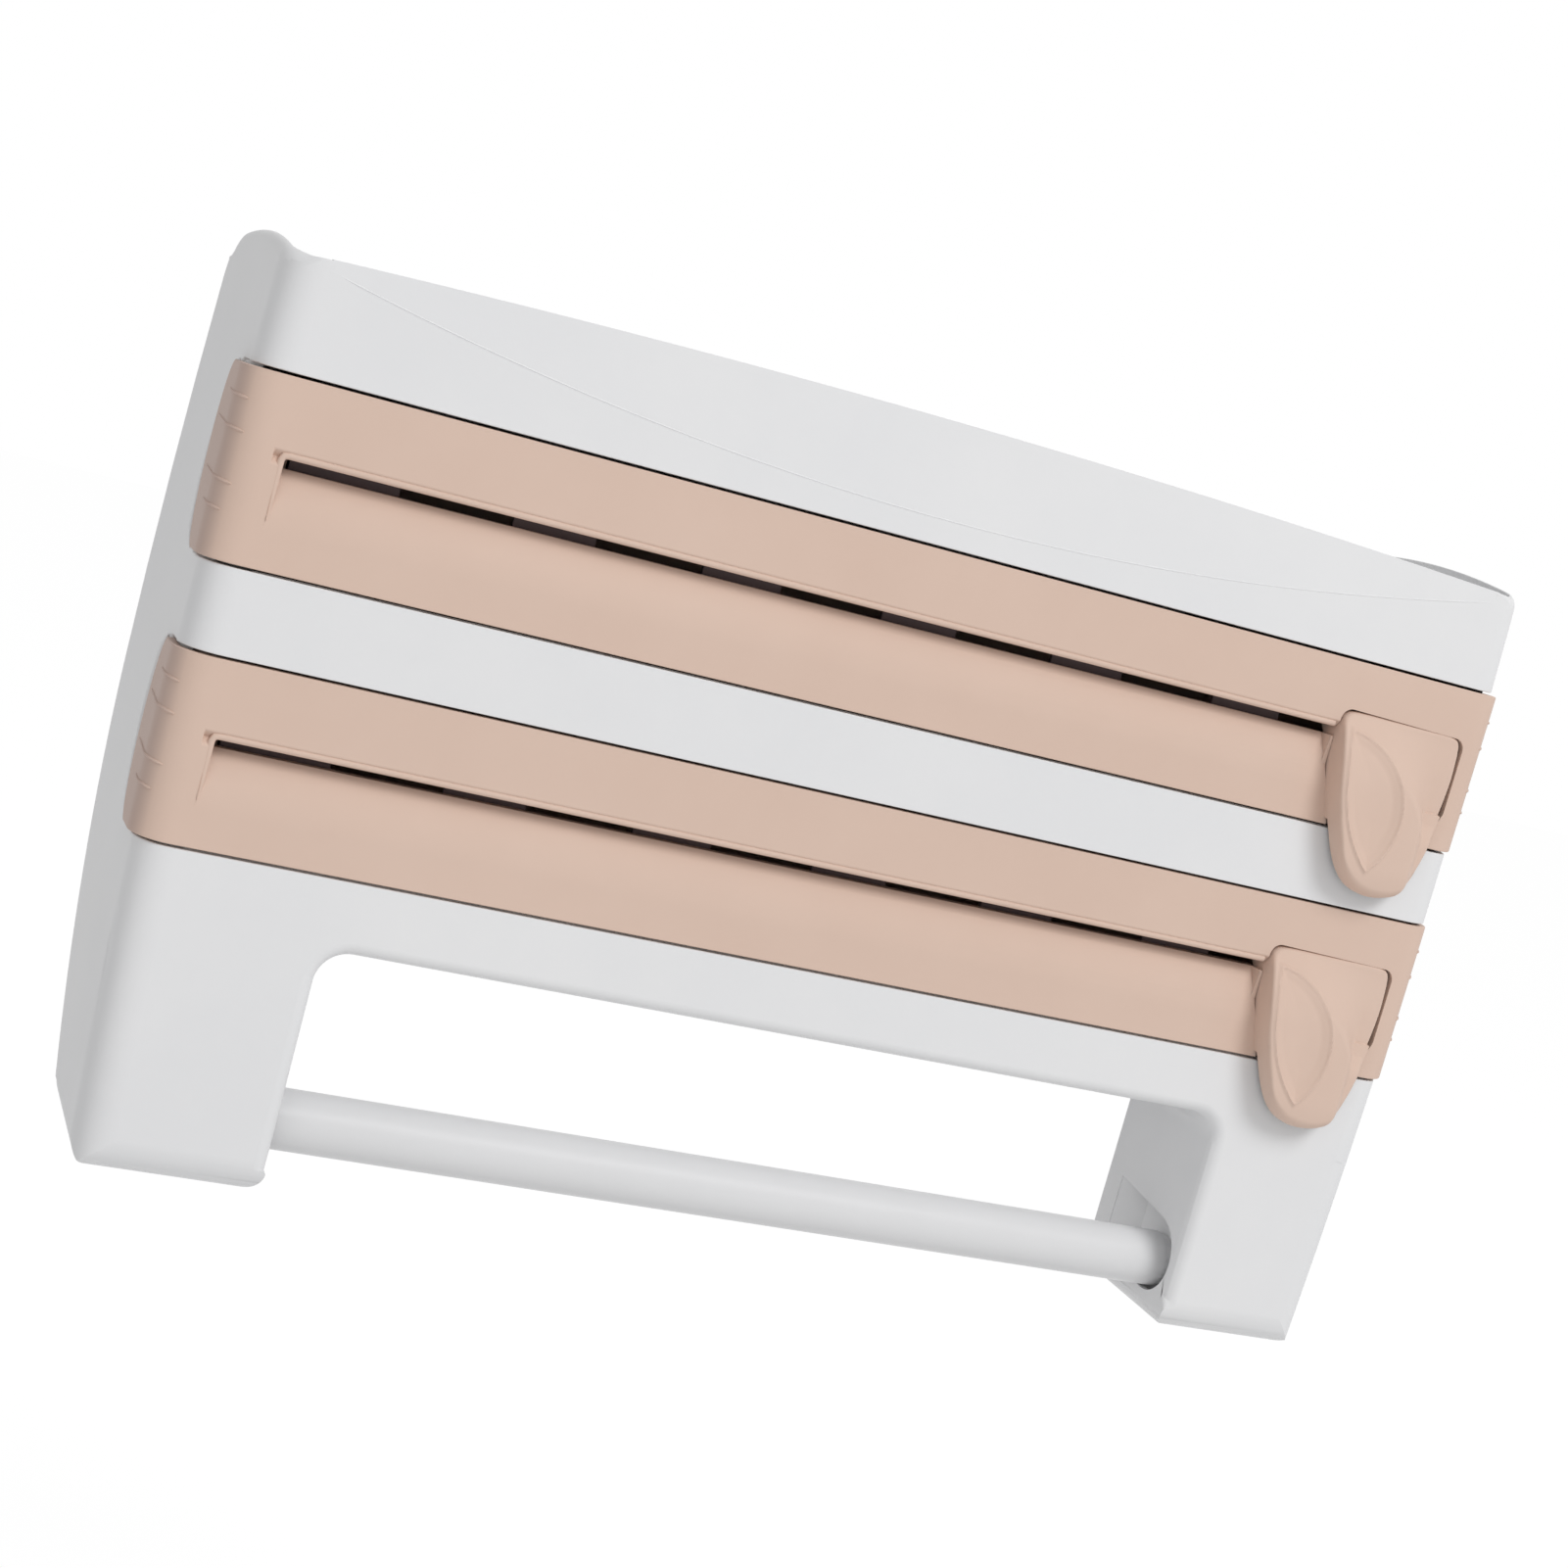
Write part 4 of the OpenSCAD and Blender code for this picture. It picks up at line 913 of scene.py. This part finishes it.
def lever_face(x, b, leaf_depth, leaf_rim):
    """Depth u of the lever's face in mm, negative where it stands proud"""
    rise = along_table(LEVER_RISE, b)
    # The face falls from a shoulder, further right lower down, to a level at the right
    shoulder = 150 + 24.5 * ease(16, 46, b)
    fall = ease(shoulder, 181.2, x)
    level = 0.3 + 0.8 * ease(17, 30, b) + 3.1 * ease(40, 51, b)
    face = rise * (1 - fall) + min(level, rise) * fall
    d = leaf_distance(x, b)
    hollow = leaf_depth * ease(0.2, 3.6, -d) + 0.5 * leaf_depth * ease(2.0, 9.0, -d)
    return -(face - hollow + leaf_rim * math.exp(-(d / 0.5) ** 2))


def edge_radius(x, b):
    """Rounding of the thumb rest's edge in mm, fuller at its foot and down its right side"""
    return 1.0 + 2.6 * ease(58, 68, b) + 0.5 * ease(165, 180, x) * ease(30, 45, b)


def clear_rear(x, b):
    """Depth in mm that the lever's rear keeps to so that it clears the housing when pressed"""
    down, right = LEVER_LOW_RIGHT
    if b >= LEVER_LOW or (b > down and x > right):
        return -LEVER_AIR - LEVER_SWEEP * (b - LEVER_PIVOT)
    return None


def rim_rear(x, b):
    """Depth in mm of the rim's rear edge: on the lip at the left, clear of the housing below"""
    if b < LEVER_LOW and x < RIM_LIP_X:
        return max(RIM_REAR, min(lip_depth(b) + RIM_ON_LIP, RIM_DEEPEST))
    limit = clear_rear(x, b)
    return RIM_REAR if limit is None else limit


def lip_depth(b):
    """Depth of the lip's surface in mm"""
    if b >= LIP_LOW:
        return 0.0
    return LIP_R - math.sqrt(max(LIP_R ** 2 - (LIP_LOW - b) ** 2, 0.0))


def front_view(at):
    """A point's distances in mm from the middle and down from the drawer's top edge"""
    return at.x / MM, (UPPER_TOP - at.z) / MM


def ring_step(p, q, ring):
    """Steps round a square ring of cells, clockwise in front view from its upper left corner"""
    if q >= ring - 0.25:
        return p + ring
    if p >= ring - 0.25:
        return 2 * ring + (ring - q)
    if q <= -ring + 0.25:
        return 4 * ring + (ring - p)
    return 6 * ring + (q + ring)


class DISPENSER_OT_levers(bpy.types.Operator):
    """Both press levers: a sculpted thumb rest with a leaf-shaped hollow, and its web"""
    bl_idname = "dispenser.levers"
    bl_label = "Press Levers"

    def execute(self, context):
        _, sizes = settings()
        obj = self.thumb_rest(sizes.leaf_depth / MM, sizes.leaf_rim / MM)
        self.draw_rim_back(obj)
        self.thicken(obj, sizes.lever_wall)
        join_onto(obj, [self.web()])
        smooth(obj, 50)
        finish_pair(obj, "lever", "press_lever", "rose")
        return {'FINISHED'}

    def thumb_rest(self, depth, rim):
        """The face of the thumb rest: a grid whose square rings are laid on rings of the outline"""
        half = LEVER_CELLS // 2
        outline = closed_curve(LEVER_OUTLINE, 8 * half)
        centre = Vector(LEVER_CENTRE)
        clear_selection()
        bpy.ops.mesh.primitive_grid_add(x_subdivisions=LEVER_CELLS, y_subdivisions=LEVER_CELLS, size=2)
        obj = bpy.context.object
        obj.name = obj.data.name = "Upper_Press_Lever"
        ways = []
        for i, point in enumerate(outline):
            tangent = (outline[(i + 1) % len(outline)] - outline[i - 1]).normalized()
            ways.append(abs((point - centre).dot(Vector((tangent.y, -tangent.x)))))
        for v in obj.data.vertices:
            p, q = v.co.x * half, v.co.y * half
            ring = max(abs(p), abs(q))
            x, b, away = centre.x, centre.y, LEVER_INNER
            if ring > 0.5:
                at = int(round(ring_step(p, q, ring) / (8 * ring) * len(outline))) % len(outline)
                x, b = centre + (outline[at] - centre) * (ring / half)
                away = (1 - ring / half) * ways[at]
            u = lever_face(x, b, depth, rim)
            radius = edge_radius(x, b)
            if away < radius:
                u += radius - math.sqrt(max(radius ** 2 - (radius - away) ** 2, 0.0))
            limit = clear_rear(x, b)
            if limit is not None:
                u = min(u, limit - LEVER_LEAST)
            v.co = Vector((x * MM, FRONT_Y + u * MM, UPPER_TOP - b * MM))
        return obj

    def draw_rim_back(self, obj):
        """Draws the rim back as a wall in two steps and faces the whole forward"""
        edit(obj, 'EDGE', 'SELECT')
        bpy.ops.mesh.region_to_loop()
        for share in (0.35, 1.0):
            bpy.ops.mesh.extrude_region_move(TRANSFORM_OT_translate={"value": (0, 0, 0)})
            bpy.ops.object.mode_set(mode='OBJECT')
            for v in obj.data.vertices:
                if v.select:
                    front = (v.co.y - FRONT_Y) / MM
                    v.co.y = FRONT_Y + (front + (rim_rear(*front_view(v.co)) - front) * share) * MM
            bpy.ops.object.mode_set(mode='EDIT')
        face_outward()
        clear_selection()
        if sum(f.normal.y for f in obj.data.polygons) > 0:
            edit(obj, action='SELECT')
            bpy.ops.mesh.flip_normals()
            clear_selection()

    def thicken(self, obj, wall):
        """Gives the skin its wall, which stays clear of the housing"""
        apply_modifier(obj, "Wall", 'SOLIDIFY', thickness=wall, offset=-1)
        for v in obj.data.vertices:
            limit = clear_rear(*front_view(v.co))
            if limit is not None:
                v.co.y = min(v.co.y, FRONT_Y + limit * MM)

    def web(self):
        """The plate behind the thumb rest that ties it to the comb's arm"""
        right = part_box("upper_clamp_comb")[1][0] - WEB_FROM_END * MM
        web = stack("Lever_Web", [(x, FRONT_Y + u * MM, UPPER_TOP - b * MM)
                                  for x in (right - WEB_WALL * MM, right) for u, b in WEB_CORNERS], 4)
        edit(web, 'EDGE', 'SELECT')
        bpy.ops.mesh.bevel(offset=3 * HAIR, segments=2, affect='EDGES')
        clear_selection()
        return web


# The return spring: radius, wire, turns, steps
SPRING_R, SPRING_WIRE, SPRING_TURNS, TURN_STEPS = 0.003, 0.0004, 6, 24


class DISPENSER_OT_combs(bpy.types.Operator):
    """Clamp combs behind the slots and the levers' return springs"""
    bl_idname = "dispenser.combs"
    bl_label = "Combs and Springs"

    def execute(self, context):
        _, sizes = settings()
        comb = merged_copy("upper_clamp_comb", "Upper_Clamp_Comb")
        smooth(comb)
        finish_pair(comb, "lever", "clamp_comb", "comb")
        pair = finish_pair(self.spring(sizes.wire_sides), "drawer", "lever_spring", "steel")
        for obj, level, drop in zip(pair, ("upper", "lower"), (0.0, DRAWER_STEP)):
            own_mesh(obj)
        return {'FINISHED'}

    def spring(self, sides):
        """One coil of round wire, spun from a circle, with closed ends"""
        low, high = (Vector(c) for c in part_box("upper_lever_spring"))
        middle = (low + high) / 2
        length = high.y - low.y - 2 * SPRING_WIRE
        ring = SPRING_R - SPRING_WIRE
        clear_selection()
        bpy.ops.mesh.primitive_circle_add(vertices=sides, radius=SPRING_WIRE, location=(0, 0, 0))
        obj = bpy.context.object
        obj.name = obj.data.name = "Upper_Lever_Spring"
        obj.data.transform(Matrix.Translation((ring, 0, 0)) @ Matrix.Rotation(math.pi / 2, 4, 'X'))
        apply_modifier(obj, "Coil", 'SCREW', axis='Z', screw_offset=length / SPRING_TURNS,
                       iterations=SPRING_TURNS, steps=TURN_STEPS, render_steps=TURN_STEPS,
                       use_merge_vertices=False)
        obj.data.transform(Matrix.Translation((middle.x, low.y + SPRING_WIRE, middle.z))
                           @ Matrix.Rotation(-math.pi / 2, 4, 'X'))
        edit(obj, 'EDGE')
        bpy.ops.mesh.select_non_manifold()
        bpy.ops.mesh.edge_face_add()
        face_outward()
        smooth(obj, 60)
        return obj


# Towel bar

class DISPENSER_OT_towel_bar(bpy.types.Operator):
    """Towel bar tube and the plugs in its ends"""
    bl_idname = "dispenser.towel_bar"
    bl_label = "Towel Bar"

    def execute(self, context):
        dressed_copy("towel_bar_tube", "towel_bar", "bar")
        dressed_copy("left_bar_plug", "bar_plugs", "white")
        dressed_copy("right_bar_plug", "bar_plugs", "white")
        return {'FINISHED'}


# Stage

# The camera's lens, place, and its right, up and forward ways
LENS = 60.2
EYE = (-0.3013, -0.7799, 0.0092)
EYE_RIGHT = (.9061, -.3311, .2635)
EYE_UP = (-.2031, .2063, .9572)
EYE_AHEAD = (.3712, .9208, -.1197)
FLOOR_SIZE, FLOOR_Z = 14, -0.56
# The lamps: name, place, size, power; and what they shine at
LAMPS = (("Key", (0.8, -2.0, 1.9), 1.3, 38.0), ("Fill", (-1.3, -2.2, 0.8), 1.8, 4.0))
LAMP_AIM = (0, -0.05, -0.09)
# Strength of the room's light and of the floor's own white, and the share of that white
ROOM_LIGHT, FLOOR_GLOW, FLOOR_SHARE = 0.48, 1.08, 0.86


class DISPENSER_OT_stage(bpy.types.Operator):
    """Pale floor, soft studio light and the camera"""
    bl_idname = "dispenser.stage"
    bl_label = "Stage and Camera"

    def execute(self, context):
        scene = context.scene
        data = bpy.data.cameras.new("Camera")
        data.sensor_width = 36
        data.lens = LENS
        data.clip_start = 0.01
        camera = new_object("Camera", data)
        turn = Matrix((Vector(EYE_RIGHT), Vector(EYE_UP), -Vector(EYE_AHEAD))).transposed()
        camera.matrix_world = Matrix.Translation(EYE) @ turn.to_4x4()
        scene.camera = camera
        scene.view_settings.view_transform = 'Standard'

        clear_selection()
        bpy.ops.mesh.primitive_plane_add(size=FLOOR_SIZE, location=(0, 0, FLOOR_Z))
        floor = bpy.context.object
        floor.name = floor.data.name = "Floor"
        floor.data.materials.append(self.floor_material())
        for lamp in LAMPS:
            self.lamp(*lamp)
        self.world(scene)
        return {'FINISHED'}

    def lamp(self, name, place, size, power):
        data = bpy.data.lights.new(name, 'AREA')
        data.shape = 'DISK'
        data.size = size
        data.energy = power
        lamp = new_object(name, data)
        aim = Vector(LAMP_AIM) - Vector(place)
        lamp.matrix_world = Matrix.Translation(place) @ aim.to_track_quat('-Z', 'Y').to_matrix().to_4x4()
        lamp.visible_camera = False

    def shown_white(self, tree, lit, plain, share, output):
        """Ends a node tree: plain white where rays should see it, and the lit shader elsewhere"""
        path = tree.nodes.new('ShaderNodeLightPath')
        seen = math_node(tree, 'MAXIMUM', path.outputs['Is Camera Ray'], path.outputs['Is Glossy Ray'])
        seen = math_node(tree, 'MAXIMUM', seen, path.outputs['Is Transmission Ray'])
        blend = tree.nodes.new('ShaderNodeMixShader')
        out = tree.nodes.new(output)
        feed(tree, blend.inputs, {0: math_node(tree, 'MULTIPLY', seen, share),
                                  1: lit.outputs[0], 2: plain.outputs[0]})
        tree.links.new(blend.outputs[0], out.inputs[0])

    def floor_material(self):
        material = bpy.data.materials.new("Pale Floor")
        material.use_nodes = True
        tree = material.node_tree
        tree.nodes.clear()
        place = tree.nodes.new('ShaderNodeTexCoord').outputs['Object']
        tone = mix_colour(tree, noise(tree, place, 3.0), (0.93, 0.93, 0.93), (0.95, 0.95, 0.95))
        matt = tree.nodes.new('ShaderNodeBsdfDiffuse')
        feed(tree, matt.inputs, {"Color": tone})
        white = tree.nodes.new('ShaderNodeEmission')
        feed(tree, white.inputs, {"Strength": FLOOR_GLOW})
        self.shown_white(tree, matt, white, FLOOR_SHARE, 'ShaderNodeOutputMaterial')
        return material

    def world(self, scene):
        world = bpy.data.worlds.new("Studio")
        scene.world = world
        world.use_nodes = True
        tree = world.node_tree
        tree.nodes.clear()
        lit, plain = (tree.nodes.new('ShaderNodeBackground') for _ in range(2))
        for node, strength in ((lit, ROOM_LIGHT), (plain, 1.0)):
            feed(tree, node.inputs, {"Color": (1, 1, 1), "Strength": strength})
        self.shown_white(tree, lit, plain, 1.0, 'ShaderNodeOutputWorld')


# Panel and registration

OPERATORS = (DISPENSER_OT_stage, DISPENSER_OT_housing, DISPENSER_OT_back, DISPENSER_OT_drawers,
             DISPENSER_OT_levers, DISPENSER_OT_combs, DISPENSER_OT_towel_bar)


class DISPENSER_PT_panel(bpy.types.Panel):
    """Lists the dispenser's builders and settings"""
    bl_idname = "DISPENSER_PT_panel"
    bl_label = "Film Dispenser"
    bl_space_type = 'VIEW_3D'
    bl_region_type = 'UI'
    bl_category = "Dispenser"

    def draw(self, context):
        layout = self.layout
        for owner in (context.scene.dispenser_colours, context.scene.dispenser_sizes):
            box = layout.box()
            for key in type(owner).__annotations__:
                box.prop(owner, key)
        for operator in OPERATORS:
            layout.operator(operator.bl_idname)


CLASSES = (DispenserColours, DispenserSizes, *OPERATORS, DISPENSER_PT_panel)


def register():
    for kind in CLASSES:
        bpy.utils.register_class(kind)
    bpy.types.Scene.dispenser_colours = PointerProperty(type=DispenserColours)
    bpy.types.Scene.dispenser_sizes = PointerProperty(type=DispenserSizes)


def unregister():
    del bpy.types.Scene.dispenser_sizes
    del bpy.types.Scene.dispenser_colours
    for kind in reversed(CLASSES):
        bpy.utils.unregister_class(kind)


def main():
    register()
    MATERIALS.update(build_materials())
    for operator in OPERATORS:
        getattr(bpy.ops.dispenser, operator.bl_idname.partition(".")[2])()
    clear_selection()
    bpy.context.view_layer.update()


if __name__ == "__main__":
    main()
